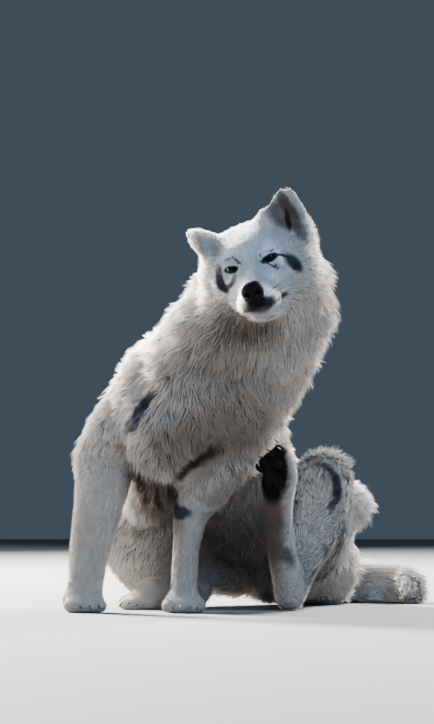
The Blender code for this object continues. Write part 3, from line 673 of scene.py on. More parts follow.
def coat_colour(graph: Graph) -> Wire:
    """The coat's colour at a place: a white face, cream and tan clouds on the body, and the markings.

    Args:
        graph: The material.

    Returns:
        The colour.
    """
    clouds = graph.noise(8.0, 4.0).stepped(0.42, 0.70)
    wisps = graph.noise(46.0, 3.0).stepped(0.46, 0.74)
    body = graph.mix(clouds * 0.50, (0.86, 0.84, 0.82), (0.63, 0.58, 0.53))
    body = graph.mix(wisps * 0.30, body, (0.54, 0.49, 0.45))
    colour = graph.mix(face_share(graph) * 0.85, body, (0.85, 0.87, 0.90))
    shaken = {Zone.HEAD: graph.shaken(140.0, 0.0050), Zone.BODY: graph.shaken(48.0, 0.022)}
    for stroke in MARKINGS:
        colour = graph.mix(stroke.share(graph, shaken[stroke.zone]), colour, stroke.colour)
    return colour


@dataclass(frozen=True)
class CoatFinish:
    """Hair: the coat's colour, a little darker and warmer towards the root, for the greyer underfur and as
    painted shade deep in the coat, each tuft of its own tone.
    """

    name: str = "coat_hair"
    root: Colour = (0.57, 0.52, 0.48)
    own_tone: Colour = (0.60, 0.55, 0.50)
    specular: float = 0.08

    def made(self) -> bpy.types.Material:
        """Builds the finish.

        Returns:
            The material.
        """
        graph = Graph(self.name)
        along = graph.node("ShaderNodeAttribute", {"attribute_name": "along"}, {}, "Fac")
        tone = graph.node("ShaderNodeAttribute", {"attribute_name": "tone"}, {}, "Fac")
        strand = graph.noise(420.0, 2.0)
        # darker towards the root: greyer underfur and painted shade deep in the coat, less of it on the face
        near_root = (1 - along).stepped(0.15, 1.0) * (1 - face_share(graph) * 0.7)
        shade = graph.mix(near_root, (1, 1, 1), self.root)
        shade = graph.mix(tone * 0.70, shade, self.own_tone, "MULTIPLY")
        colour = graph.mix(1.0, coat_colour(graph), shade, "MULTIPLY")
        normal = graph.bump(strand, 0.0004, 0.3)
        rough = 0.74 + strand * 0.12
        return graph.finish(colour, rough, self.specular, normal)


@dataclass(frozen=True)
class SkinFinish:
    """The skin with its close underfur: the same markings, a little darker off the face, for the darker
    underfur and as painted shade deep in the coat, in fine grain.
    """

    name: str = "skin_underfur"
    # the skin's darkening: darker underfur and painted shade deep in the coat, less of it on the face
    shade: Colour = (0.64, 0.60, 0.57)
    face_shade: Colour = (0.88, 0.88, 0.89)
    grain_shade: Colour = (0.62, 0.60, 0.58)
    specular: float = 0.08

    def made(self) -> bpy.types.Material:
        """Builds the finish.

        Returns:
            The material.
        """
        graph = Graph(self.name)
        grain = graph.noise(700.0, 3.0)
        shade = graph.mix(face_share(graph), self.shade, self.face_shade)
        colour = graph.mix(1.0, coat_colour(graph), shade, "MULTIPLY")
        colour = graph.mix(grain.stepped(0.35, 0.8) * 0.35, colour, self.grain_shade, "MULTIPLY")
        normal = graph.bump(grain, 0.0008, 0.6)
        rough = 0.80 + grain * 0.1
        return graph.finish(colour, rough, self.specular, normal)


@dataclass(frozen=True)
class EyeFinish:
    """An eye: a dark amber iris, darkened nearly to black as painted shade, with its rays and rim, a black
    pupil, and a wet front.
    """

    side: Side
    iris: float = 0.0072
    pupil: float = 0.0027
    specular: float = 0.16
    # the iris's amber darkened nearly to black as painted shade
    iris_colours: tuple[Colour, Colour] = ((0.006, 0.0045, 0.0035), (0.014, 0.0095, 0.007))
    white_colours: tuple[Colour, Colour] = ((0.006, 0.005, 0.005), (0.012, 0.010, 0.010))
    rim_colour: Colour = (0.006, 0.004, 0.003)
    pupil_colour: Colour = (0.001, 0.001, 0.001)

    def made(self) -> bpy.types.Material:
        """Builds the finish.

        Returns:
            The material.
        """
        graph = Graph(f"eye_{self.side.word}")
        look = Eye(self.side)
        round_turn = look.turn().to_euler()
        values = {"Vector": graph.place, "Location": look.centre(), "Rotation": round_turn}
        own = graph.node("ShaderNodeMapping", {"vector_type": "TEXTURE"}, values)
        flat = graph.node("ShaderNodeVectorMath", {"operation": "MULTIPLY"}, {0: own, 1: (1, 0, 1)})
        away = graph.node("ShaderNodeVectorMath", {"operation": "LENGTH"}, {0: flat}, "Value")
        rays = graph.noise(900.0, 3.0)
        iris = graph.mix(rays.stepped(0.35, 0.7), *self.iris_colours)
        iris = graph.mix(away.stepped(self.iris * 0.75, self.iris), iris, self.rim_colour)
        white = graph.mix(rays.stepped(0.4, 0.7), *self.white_colours)
        colour = graph.mix(away.stepped(self.iris * 0.98, self.iris * 1.06), iris, white)
        colour = graph.mix(away.stepped(self.pupil * 1.08, self.pupil * 0.94), colour, self.pupil_colour)
        rough = 0.16 + rays * 0.05
        return graph.finish(colour, rough, self.specular)


@dataclass(frozen=True)
class LeatherFinish:
    """Bare leather: pebbled and dark, moist or dull, and painted black inside a nostril as the shade of its
    hole.
    """

    name: str
    colour: Colour
    worn: Colour
    pebble: float
    roughness: float
    holes: Sequence[tuple[float, float, float]] = ()
    hole_size: tuple[float, float, float] = (0.0055, 0.009, 0.0050)
    specular: float = 0.12

    def made(self) -> bpy.types.Material:
        """Builds the finish.

        Returns:
            The material.
        """
        graph = Graph(self.name)
        values = {"Vector": graph.place, "Scale": self.pebble}
        cells = graph.node("ShaderNodeTexVoronoi", {"feature": "F1"}, values, "Distance")
        blotch = graph.noise(120.0, 3.0)
        colour = graph.mix(blotch.stepped(0.4, 0.75) * 0.6, self.colour, self.worn)
        normal = graph.bump(1 - cells, 0.0006, 0.7)
        rough = self.roughness + blotch * 0.15
        # each nostril painted black, as the shade inside its hole
        for place in self.holes:
            away = graph.away(graph.place, HEAD.world(place), HEAD.turn.to_euler(), self.hole_size)
            colour = graph.mix(away.stepped(1.3, 0.6), colour, (0.0, 0.0, 0.0))
            rough = rough + away.stepped(1.3, 0.6) * 0.5
        return graph.finish(colour, rough, self.specular, normal)


@dataclass(frozen=True)
class HornFinish:
    """Claw horn: dark with paler streaks, lightly ribbed."""

    name: str = "claw_horn"
    specular: float = 0.15

    def made(self) -> bpy.types.Material:
        """Builds the finish.

        Returns:
            The material.
        """
        graph = Graph(self.name)
        streak = graph.noise(260.0, 3.0)
        colour = graph.mix(streak.stepped(0.35, 0.7), (0.035, 0.030, 0.027), (0.120, 0.100, 0.085))
        rough = 0.45 + streak * 0.2
        normal = graph.bump(streak, 0.0003, 0.5)
        return graph.finish(colour, rough, self.specular, normal)


@dataclass(frozen=True)
class FloorFinish:
    """The plain pale floor."""

    name: str = "floor"
    specular: float = 0.5

    def made(self) -> bpy.types.Material:
        """Builds the finish.

        Returns:
            The material.
        """
        graph = Graph(self.name)
        grain = graph.noise(14.0, 4.0)
        colour = graph.mix(grain * 0.2, (0.130, 0.133, 0.137), (0.112, 0.115, 0.120))
        return graph.finish(colour, 0.9, self.specular)


# --- The lie of the coat ---------------------------------------------------------------------------


@dataclass(frozen=True)
class Pelage:
    """How the hair grows on one part of the body: metres, and degrees off the skin."""

    length: float
    depth: float
    lift: float
    width: float
    spacing: float
    droop: float = 0.1
    clump: float = 0.25
    stray: float = 0.16


FACE = Pelage(0.0078, 0.0018, 20, 0.00052, 0.0015, 0.0, 0.15)
EAR = Pelage(0.0080, 0.0026, 24, 0.00055, 0.0017, 0.0, 0.10)
LIMB = Pelage(0.0150, 0.0034, 20, 0.00070, 0.0025, 0.05, 0.15)
PAW = Pelage(0.0095, 0.0022, 20, 0.00060, 0.0020, 0.0, 0.10)
PELAGES = {
    "head": Pelage(0.025, 0.0078, 28, 0.00062, 0.0021, 0.05, 0.30, 0.20),
    "ear_left": EAR,
    "ear_right": EAR,
    "neck": Pelage(0.054, 0.0165, 26, 0.00096, 0.0033, 0.12, 0.58, 0.30),
    "trunk": Pelage(0.051, 0.0140, 26, 0.00098, 0.0033, 0.12, 0.66, 0.30),
    "tail": Pelage(0.044, 0.0130, 27, 0.00095, 0.0035, 0.08, 0.30, 0.20),
    "upper_arm": Pelage(0.032, 0.0085, 24, 0.00085, 0.0030, 0.12, 0.50),
    "forearm": LIMB,
    "forepaw": PAW,
    "thigh": Pelage(0.036, 0.0100, 25, 0.00090, 0.0032, 0.12, 0.50),
    "shin": Pelage(0.025, 0.0064, 23, 0.00080, 0.0029, 0.10, 0.22),
    "metatarsus": LIMB,
    "hind_paw": PAW,
}

# The longer fringe behind a foreleg: which way it is, and how much longer the hair is there.
FRINGES = {"forearm_left": (-0.2, 0.98, 0.0)}
FRINGE_GAIN = 0.9


@dataclass(frozen=True)
class Tussock:
    """A place in the plan's frame where the hair is longer, shorter, deeper, flatter or more upright."""

    place: tuple[float, float, float]
    reach: float
    gain: float
    lift: float
    sink: float


TUSSOCKS = (
    Tussock((-0.262, 0.100, 0.335), 0.030, 0.25, 10, 0.0),
    Tussock((-0.045, 0.018, 0.664), 0.045, -0.40, -12, 0.0),
    Tussock((0.215, 0.180, 0.312), 0.050, 0.05, 8, 0.0),
    Tussock((0.160, -0.020, 0.600), 0.070, 0.0, 4, 0.0),
    Tussock((0.398, 0.490, 0.030), 0.080, 0.10, -8, 0.004),
    Tussock((0.300, 0.440, 0.200), 0.110, -0.25, -4, 0.0),
)

# Where the hair of each part points: from the first node's middle to the second's.
LIES = {
    "neck": ("head", "trunk"),
    "trunk": ("neck", "tail"),
    "upper_arm": ("upper_arm", "forearm"),
    "forearm": ("upper_arm", "forepaw"),
    "forepaw": ("forepaw", "claw_forepaw_{}_2"),
    "thigh": ("thigh", "shin"),
    "shin": ("thigh", "metatarsus"),
    "metatarsus": ("metatarsus", "hind_paw"),
    "hind_paw": ("hind_paw", "claw_hind_paw_{}_2"),
}


def pelage_of(node: str) -> Pelage:
    """The hair of a node, whichever its side."""
    return PELAGES.get(node) or PELAGES[node.rsplit("_", 1)[0]]


def lie_of(node: str) -> Vector:
    """Which way a node's hair points.

    Args:
        node: The node's name.

    Returns:
        The way, of length one.
    """
    part, _, side = node.rpartition("_")
    ends = LIES.get(node) or LIES[part]
    names = []
    for end in ends:
        if "{}" in end:
            names.append(end.format(side))
        else:
            names.append(end if end in FLESH else f"{end}_{side}")
    return (middle(names[1]) - middle(names[0])).normalized()


@dataclass
class Coat:
    """The hair's numbers at each point of the skin, and which way it lies."""

    surface: Surface
    owner: Rows
    params: Rows = field(init=False)
    lie: Rows = field(init=False)

    SMOOTHING = 45
    NAMES = tuple(entry.name for entry in fields(Pelage))
    LENGTH, DEPTH, LIFT = range(3)
    # The line along the tail's middle in the plan's frame, and how far its way counts.
    TAIL_LINE = (
        (0.200, 0.470, 0.100),
        (0.245, 0.550, 0.056),
        (0.305, 0.600, 0.040),
        (0.368, 0.592, 0.038),
        (0.402, 0.535, 0.034),
        (0.398, 0.475, 0.028),
    )
    TAIL_REACH = 0.040
    MUZZLE_TIP = Vector((0.0, -0.150, -0.050))
    # The head's short hair ends between these, along a line from the nose back.
    FACE_EDGE = (0.005, 0.075)
    # The coat is this much shallower round the ears, and where the floor presses on it.
    EAR_REACH, EAR_LOSS = 0.055, 0.55
    PRESSED_HEIGHTS, PRESSED_LOSS = (0.020, 0.050), 0.72
    # The hair parts round an eye within this reach, and this much more than it lies back.
    PARTING_REACH, PARTING = 0.020, 1.6

    def __post_init__(self) -> None:
        """Works the numbers out and smooths them over the skin."""
        rows = np.array([astuple(pelage_of(node)) for node in FLESH])[self.owner]
        normals = self.surface.normals()
        for node, way in FRINGES.items():
            behind = of_nodes(self.owner, node) * ease(normals @ np.array(way), 0.1, 0.8)
            rows[:, self.LENGTH] *= 1 + FRINGE_GAIN * behind
        local = HEAD.local(self.surface.points)
        face_share = self.face_share(local)
        rows = rows + face_share * (np.array(astuple(FACE)) - rows)
        self.params = self.surface.smoothed(rows, self.SMOOTHING)
        for tussock in TUSSOCKS:
            away = self.surface.points - np.array(Vector(tussock.place) + PLAN_SHIFT)
            near = bell(np.linalg.norm(away, axis=1), tussock.reach)
            self.params[:, self.LENGTH] *= 1 + tussock.gain * near
            self.params[:, self.DEPTH] += tussock.sink * near
            self.params[:, self.LIFT] += tussock.lift * near
        for ear in EARS:
            away = np.linalg.norm(self.surface.points - np.array(middle(ear)), axis=1)
            self.params[:, self.DEPTH] *= 1 - self.EAR_LOSS * bell(away, self.EAR_REACH)
        near_face = ease(face_share, 0.2, 0.9)
        self.params += near_face * (rows - self.params) * 0.8
        near_floor = 1 - ease(self.surface.points[:, 2], *self.PRESSED_HEIGHTS)
        pressed = ease(-normals[:, 2], 0.2, 0.9) * near_floor
        self.params[:, self.DEPTH] *= 1 - self.PRESSED_LOSS * pressed
        self.lie = self.flow(local)

    def face_share(self, local: Rows) -> Rows:
        """How much of the face's short hair each point has.

        Args:
            local: The points in the head's frame.

        Returns:
            A column of shares from 0 to 1.
        """
        x, y, z = (local[:, k : k + 1] for k in range(3))
        front = 1 - ease(y + 0.55 * np.abs(x) - 0.25 * z, *self.FACE_EDGE)
        return of_nodes(self.owner, "head")[:, None] * front

    def flow(self, local: Rows) -> Rows:
        """The way of the hair at each point, along the skin.

        Args:
            local: The points in the head's frame.

        Returns:
            One row of length one for each point.
        """
        normals = self.surface.normals()
        lie = np.zeros_like(self.surface.points)
        for node in FLESH:
            mine = of_nodes(self.owner, node)
            if node == "head":
                away = unit(local[mine] - np.array(self.MUZZLE_TIP))
                lie[mine] = away @ np.array(HEAD.turn).T
            elif node in EARS:
                lie[mine] = np.array((middle(node) - middle("head")).normalized())
            elif node == "tail":
                lie[mine] = self.along_the_tail(self.surface.points[mine])
            else:
                lie[mine] = np.array(lie_of(node))
        lie = self.parted_round_eyes(local, lie)
        lie = unit(lie - dot(lie, normals) * normals)
        lie = self.surface.smoothed(lie, self.SMOOTHING)
        return unit(lie - dot(lie, normals) * normals)

    def along_the_tail(self, points: Rows) -> Rows:
        """The way along the tail's middle line, beside each point.

        Args:
            points: The points.

        Returns:
            One row of length one for each.
        """
        line = np.array(self.TAIL_LINE) + np.array(PLAN_SHIFT)
        ways = unit(np.gradient(line, axis=0))
        gaps = np.linalg.norm(points[:, None] - line[None], axis=2)
        shares = bell(gaps, self.TAIL_REACH) + 1e-9
        return unit(shares @ ways)

    def parted_round_eyes(self, local: Rows, lie: Rows) -> Rows:
        """The lie, turned aside round both eyes.

        Args:
            local: The points in the head's frame.
            lie: The way of the hair at each.

        Returns:
            The new ways.
        """
        for side in Side:
            away = local - np.array((HEAD.EYE.x * side.value, HEAD.EYE.y, HEAD.EYE.z))
            away[:, 1] *= 0.3
            near = bell(np.linalg.norm(away, axis=1, keepdims=True), self.PARTING_REACH)
            lie = lie + self.PARTING * near * unit(away) @ np.array(HEAD.turn).T
        return lie

    def column(self, name: str) -> Rows:
        """One of the numbers at each point."""
        return self.params[:, self.NAMES.index(name)]


# --- The skin --------------------------------------------------------------------------------------


@dataclass
class Eye:
    """An eyeball with its cornea, and the frame in which its lids open."""

    side: Side
    radius: float = 0.0125
    splay: float = math.radians(17)
    cant: float = math.radians(12)
    # Half the opening's width, and its height above and below the corners.
    opening: tuple[float, float, float] = (0.0119, 0.0050, 0.0042)
    cornea: float = 0.0009
    cornea_width: float = 0.55
    # The lids: how far off the ball they are, how low the inner corner hangs, and the upper lid's rim and
    # crease: how high or deep, how far outside the opening, and how wide.
    lid: float = 0.0011
    corner_drop: float = 0.0010
    rim: tuple[float, float, float] = (0.0009, 0.0008, 0.0009)
    crease: tuple[float, float, float] = (0.0010, 0.0042, 0.0012)
    blend: tuple[float, float] = (0.0015, 0.0130)
    pocket: float = 0.0022
    reach: float = 0.030

    # The lids begin and are whole where the skin faces forward by these cosines.
    FACING = (0.30, 0.50)

    def centre(self) -> Vector:
        """The eyeball's middle."""
        return middle(f"eye_{self.side.word}")

    def turn(self) -> Matrix:
        """The eye's axes, +X out to the side of the head and canted up, -Y the way it looks.

        Returns:
            The axes as a matrix's columns.
        """
        splay = Matrix.Rotation(self.splay * self.side.value, 3, "Z")
        cant = Matrix.Rotation(-self.cant * self.side.value, 3, "Y")
        return HEAD.turn @ splay @ cant

    def local(self, points: Rows) -> Rows:
        """Points in the eye's frame, with +X outwards on either side.

        Args:
            points: The points.

        Returns:
            Their places.
        """
        own = (points - np.array(self.centre())) @ np.array(self.turn())
        own[:, 0] *= self.side.value
        return own

    def build(self) -> bpy.types.Object:
        """Builds the eyeball.

        Returns:
            The mesh's object.
        """
        bm = bmesh.new()
        bmesh.ops.create_uvsphere(bm, u_segments=48, v_segments=32, radius=self.radius)
        pole = Matrix.Rotation(math.radians(90), 4, "X")
        bmesh.ops.transform(bm, matrix=pole, verts=bm.verts)
        for vert in bm.verts:
            if vert.co.y < 0:
                off = math.hypot(vert.co.x, vert.co.z) / self.radius
                vert.co.y -= self.cornea * math.exp(-((off / self.cornea_width) ** 4))
        place = Matrix.Translation(self.centre()) @ self.turn().to_4x4()
        bmesh.ops.transform(bm, matrix=place, verts=bm.verts)
        obj = built(f"eyeball_{self.side.word}", bm)
        obj.data.shade_smooth()
        return obj

    def outside(self, across: Rows, level: Rows) -> tuple[Rows, Rows]:
        """How far places on the ball are outside the opening, and how high its arch is there.

        Args:
            across: Their places to the side, as shares of the opening's half width.
            level: Their heights over its corners.

        Returns:
            The distances, below 0 inside, and the arch's share of its full height.
        """
        half, above, below = self.opening
        arch = np.maximum(1 - across**2, 0) ** 0.75
        height = np.where(level > 0, above, below) * arch
        past = np.hypot((np.abs(across) - 1) * half, level)
        return np.where(np.abs(across) >= 1, past, np.abs(level) - height), arch

    def lidded(self, points: Rows) -> Rows:
        """Skin points moved on to the lids round this eye, and behind its ball inside their opening.

        Args:
            points: The skin's points.

        Returns:
            The moved points.
        """
        own = self.local(points)
        rho = np.linalg.norm(own, axis=1)
        facing = -own[:, 1] / np.maximum(rho, 1e-9)
        ray = own / np.maximum(rho, 1e-9)[:, None] * self.radius
        across = np.clip(ray[:, 0] / self.opening[0], -1.6, 1.6)
        level = ray[:, 2] + self.corner_drop * np.clip(-across, 0, 1) ** 2
        beyond, arch = self.outside(across, level)
        upper = level > 0
        high, gap, wide = self.rim
        lid = self.radius + self.lid + high * bell(beyond - gap, wide) * upper
        deep, gap, wide = self.crease
        crease = deep * bell(beyond - gap, wide) * upper * arch
        blend = ease(beyond, *self.blend)
        wanted = (lid - crease) * (1 - blend) + rho * blend
        wanted = np.where(beyond < 0, self.radius - self.pocket, wanted)
        mine = (facing > self.FACING[0]) & (rho < self.reach)
        weight = np.where(mine, ease(facing, *self.FACING), 0)
        rho_new = rho + (wanted - rho) * weight
        own = own * (rho_new / np.maximum(rho, 1e-9))[:, None]
        own[:, 0] *= self.side.value
        return own @ np.array(self.turn()).T + np.array(self.centre())

    def openness(self, points: Rows) -> Rows:
        """How far points are outside the lids' opening, measured along the ball.

        Args:
            points: The points.

        Returns:
            The distances, below 0 in the opening and 1 far from the eye.
        """
        own = self.local(points)
        rho = np.maximum(np.linalg.norm(own, axis=1), 1e-9)
        ray = own / rho[:, None] * self.radius
        beyond, _ = self.outside(ray[:, 0] / self.opening[0], ray[:, 2])
        return np.where((-own[:, 1] / rho > 0.2) & (rho < self.reach), beyond, 1.0)


@dataclass
class Skin:
    """One closed skin under the whole coat."""

    voxel: float = 0.0056
    grow: float = 0.0008
    grow_ears: float = 0.0016
    smoothing: int = 12
    inset_steps: int = 8
    level_rounds: int = 2
    level_calm: int = 40
    fine_reach: float = 0.089
    ear_reach: float = 0.052
    near_reach: float = 0.022
    lids_reach: float = 0.019
    floor: float = 0.0012
    behind_nose: float = 0.62
    face_radius: float = 0.1
    smooth_share: float = 0.5
    smooth_face: float = 0.175
    smooth_ears: float = 0.15
    # The line between the lips and the lips' own roundness: how deep or high, and how wide.
    groove: float = 0.0032
    groove_width: float = 0.0016
    lip: float = 0.0012
    lip_width: float = 0.0020
    lip_gap: float = 0.0042

    # How far one round of levelling may move the skin in and out, and the share of it that is made good.
    LEVEL_LIMITS, LEVEL_SHARE = (-0.006, 0.012), 0.9

    FACE_MIDDLE = (0, -0.05, -0.03)
    # The line of the mouth on one side, from under the nose to its corner.
    MOUTH = (
        (0.0000, -0.1300, -0.0660),
        (0.0090, -0.1240, -0.0730),
        (0.0190, -0.1080, -0.0775),
        (0.0270, -0.0850, -0.0785),
        (0.0350, -0.0620, -0.0765),
        (0.0420, -0.0440, -0.0700),
    )
    # Folds of the body: how deep, how wide, and a line of places in the plan's frame.
    FOLDS = (
        (
            0.014,
            0.016,
            ((0.060, -0.085, 0.362), (0.004, -0.066, 0.318), (-0.04, -0.05, 0.29), (-0.08, -0.02, 0.262)),
        ),
        (
            0.010,
            0.014,
            ((-0.12, -0.05, 0.43), (-0.15, -0.033, 0.387), (-0.175, 0.0, 0.345), (-0.18, 0.02, 0.3)),
        ),
    )
    # The left ear's hollow: from its bottom to near the tip, the way it faces, how deep and how wide it is.
    CUP_ENDS = (0.0880, 0.048, 0.028), (0.0890, 0.060, 0.100)
    CUP_WAY = (-0.15, -0.97, 0.10)
    CUP_DEPTH, CUP_WIDTH = 0.015, 0.030

    def outline(self) -> bpy.types.Object:
        """Joins the CAD's flesh, eyes and nose into one closed mesh, finest on the face.

        Returns:
            The mesh's object.
        """
        bm = bmesh.new()
        for node in (*FLESH, "eye_left", "eye_right", "nose"):
            part = merged_copy(node, self.grow_ears if node in EARS else self.grow)
            mesh = bpy.data.meshes.new("part")
            part.to_mesh(mesh)
            part.free()
            bm.from_mesh(mesh)
            bpy.data.meshes.remove(mesh)
        obj = built("wolf_skin", bm)
        remesh = obj.modifiers.new("join", "REMESH")
        remesh.mode = "VOXEL"
        remesh.voxel_size = self.voxel
        settled(obj)
        self.refine(obj)
        return obj

    def refine(self, obj: bpy.types.Object) -> None:
        """Splits the faces of the face and ears once, and those round the eyes and mouth twice more.

        Args:
            obj: The skin's object.
        """
        bm = bmesh.new()
        bm.from_mesh(obj.data)
        bmesh.ops.triangulate(bm, faces=bm.faces)
        eyes = [Eye(side).centre() for side in Side]
        mouth = [HEAD.world((x * side.value, y, z)) for side in Side for x, y, z in self.MOUTH]
        ears = self.near(bm, [middle(ear) for ear in EARS], self.ear_reach)
        face = self.near(bm, [HEAD.world(self.FACE_MIDDLE)], self.fine_reach)
        self.split(bm, list(set(face) | set(ears)))
        self.split(bm, self.near(bm, eyes + mouth, self.near_reach))
        self.split(bm, self.near(bm, eyes, self.lids_reach))
        bm.to_mesh(obj.data)
        bm.free()

    def near(self, bm: bmesh.types.BMesh, spots: list[Vector], reach: float) -> list[bmesh.types.BMEdge]:
        """The edges that start within reach of one of the spots."""
        return [e for e in bm.edges if min((e.verts[0].co - spot).length for spot in spots) < reach]

    def split(self, bm: bmesh.types.BMesh, edges: list[bmesh.types.BMEdge]) -> None:
        """Halves the edges and makes triangles again."""
        bmesh.ops.subdivide_edges(bm, edges=edges, cuts=1, use_grid_fill=True)
        bmesh.ops.triangulate(bm, faces=bm.faces)

    def owners(self, surface: Surface) -> Rows:
        """Finds the CAD node that each point lies nearest to.

        Args:
            surface: The skin.

        Returns:
            For each point, the node's number in FLESH.
        """
        places, faces, owner = [], [], []
        for number, node in enumerate(FLESH):
            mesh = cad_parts[node].data
            start = len(places)
            places.extend(vert.co.copy() for vert in mesh.vertices)
            faces.extend([start + k for k in face.vertices] for face in mesh.polygons)
            owner.extend([number] * len(mesh.polygons))
        tree = BVHTree.FromPolygons(places, faces)
        return np.array([owner[tree.find_nearest(Vector(point))[2]] for point in surface.points])

    def build(self) -> tuple[bpy.types.Object, Coat]:
        """Builds the skin and its coat's numbers.

        Returns:
            The skin's object and the coat.
        """
        obj = self.outline()
        surface = Surface.of(obj)
        outer = BVHTree.FromPolygons(surface.points.tolist(), surface.triangles.tolist())
        owner = self.owners(surface)
        share = np.full((len(surface.points), 1), self.smooth_share)
        local = HEAD.local(surface.points)
        off_face = np.linalg.norm(local - np.array(self.FACE_MIDDLE), axis=1)
        share[off_face < self.face_radius] = self.smooth_face
        share[of_nodes(owner, *EARS)] = self.smooth_ears
        surface.points = surface.smoothed(surface.points, self.smoothing, share)
        coat = Coat(surface, owner)
        self.sink(surface, coat)
        for _ in range(self.level_rounds):
            self.level(surface, coat, outer)
        surface.points = self.moulded(surface)
        obj.data.vertices.foreach_set("co", surface.points.astype(np.float32).ravel())
        obj.data.update()
        obj.data.shade_smooth()
        return obj, coat

    def sink(self, surface: Surface, coat: Coat) -> None:
        """Sinks the skin below the coat's outline by the coat's depth, and keeps it off the floor.

        Args:
            surface: The skin, which is changed.
            coat: The coat's numbers.
        """
        depth = coat.column("depth")[:, None]
        share = np.clip(depth / 0.05, 0.02, 0.4)
        for _ in range(self.inset_steps):
            surface.points = surface.points - surface.normals() * depth / self.inset_steps
            surface.points = surface.smoothed(surface.points, 1, share)
        surface.points[:, 2] = np.maximum(surface.points[:, 2], self.floor)

    def level(self, surface: Surface, coat: Coat, outer: BVHTree) -> None:
        """Moves the skin in or out, so that it lies at the coat's depth below the CAD's surface.

        Args:
            surface: The skin, which is changed.
            coat: The coat's numbers.
            outer: The surface of the CAD.
        """
        gap = np.array([outer.find_nearest(Vector(point))[3] for point in surface.points])
        wrong = surface.smoothed((gap - self.grow - coat.column("depth"))[:, None], self.level_calm)
        ears = of_nodes(coat.owner, *EARS)[:, None].astype(float)
        wrong *= 1 - surface.smoothed(ears, 6)
        move = surface.normals() * np.clip(wrong, *self.LEVEL_LIMITS) * self.LEVEL_SHARE
        surface.points = surface.points + move
        surface.points[:, 2] = np.maximum(surface.points[:, 2], self.floor)

    def moulded(self, surface: Surface) -> Rows:
        """Works in the folds, the ear's hollow, the lids, the mouth and the nose's bed.

        Args:
            surface: The skin.

        Returns:
            The new points.
        """
        points = self.cupped(self.folded(surface.points, surface.normals()))
        surface.points = points
        for side in Side:
            points = Eye(side).lidded(points)
        points = points + surface.normals() * self.lips(HEAD.local(points))[:, None]
        return self.bedded(points)

    def lips(self, local: Rows) -> Rows:
        """How far the points stand out for the lips and in for the line between them.

        Args:
            local: The points in the head's frame.

        Returns:
            One distance for each point.
        """
        side = np.where(local[:, :1] < 0, -1.0, 1.0)
        folded = local * np.hstack([side, np.ones_like(side), np.ones_like(side)])
        gap = distance_to_line(folded, np.array(self.MOUTH))
        line = -self.groove * bell(gap, self.groove_width)
        rounded = self.lip * bell(gap - self.lip_gap, self.lip_width)
        return (line + rounded) * (np.linalg.norm(local, axis=1) < 0.2)

    def bedded(self, points: Rows) -> Rows:
        """The points with those inside the nose pad drawn back behind its front.

        Args:
            points: The points.

        Returns:
            The moved points.
        """
        own = Nose.unit_place(HEAD.local(points))
        inside = np.linalg.norm(own, axis=1, keepdims=True) < 1
        own = own * np.where(inside, self.behind_nose, 1.0)
        own[:, 1:2] += np.where(inside, 0.3, 0.0)
        return np.where(inside, HEAD.worlds(own * Nose.bed() + np.array(Nose.AT)), points)

    def folded(self, points: Rows, normals: Rows) -> Rows:
        """The points with the folds between the chest and the forelegs pressed in.

        Args:
            points: The points.
            normals: Their normals.

        Returns:
            The moved points.
        """
        for deep, wide, line in self.FOLDS:
            gap = distance_to_line(points, np.array(line) + np.array(PLAN_SHIFT))
            points = points - normals * (deep * bell(gap, wide))[:, None]
        return points

    def cupped(self, points: Rows) -> Rows:
        """The points with the hollow of the pricked ear pressed in.

        Args:
            points: The points.

        Returns:
            The moved points.
        """
        local = HEAD.local(points)
        low, high, way = (np.array(row) for row in (*self.CUP_ENDS, self.CUP_WAY))
        way = way / np.linalg.norm(way)
        axis = high - low
        share = np.clip((local - low) @ axis / (axis @ axis), 0, 1)
        off = local - low - share[:, None] * axis
        ahead = off @ way
        aside = np.linalg.norm(off - ahead[:, None] * way, axis=1)
        spread = self.CUP_WIDTH * (1 - 0.55 * share)
        press = bell(aside, spread, 4) * ease(ahead, -0.012, 0.004) * (ahead < 0.03)
        press *= ease(share, -0.05, 0.12) * (1 - ease(share, 0.80, 1.0))
        return HEAD.worlds(local - way * (self.CUP_DEPTH * (1 - 0.5 * share) * press)[:, None])


def distance_to_line(points: Rows, line: Rows) -> Rows:
    """The distance of each point from a line of straight lengths.

    Args:
        points: The points.
        line: The line's corners.

    Returns:
        One distance for each point.
    """
    nearest = np.full(len(points), np.inf)
    for start, end in zip(line, line[1:]):
        along = end - start
        share = np.clip((points - start) @ along / (along @ along), 0, 1)
        nearest = np.minimum(nearest, np.linalg.norm(points - start - share[:, None] * along, axis=1))
    return nearest


# --- The tufts -------------------------------------------------------------------------------------

SECTIONS = {
    "coat_head": ("head",),
    "coat_ears": EARS,
    "coat_neck": ("neck",),
    "coat_trunk": ("trunk",),
    "coat_tail": ("tail",),
    "coat_forelegs": tuple(part for part in LEG_PARTS if part.startswith(PAIRED_PARTS[:3])),
    "coat_hind_legs": tuple(part for part in LEG_PARTS if part.startswith(PAIRED_PARTS[3:])),
}


@dataclass
class Roots:
    """Where tufts grow: places, normals, ways, the hair's numbers, and places on the unwrapped skin."""

    points: Rows
    normals: Rows
    lies: Rows
    params: Rows
    owner: Rows
    places: Rows

    def chosen(self, mask: Rows) -> "Roots":
        """Those that the mask or the order keeps."""
        return Roots(*(getattr(self, entry.name)[mask] for entry in fields(self)))

    def column(self, name: str) -> Rows:
        """One of the numbers."""
        return self.params[:, Coat.NAMES.index(name)]


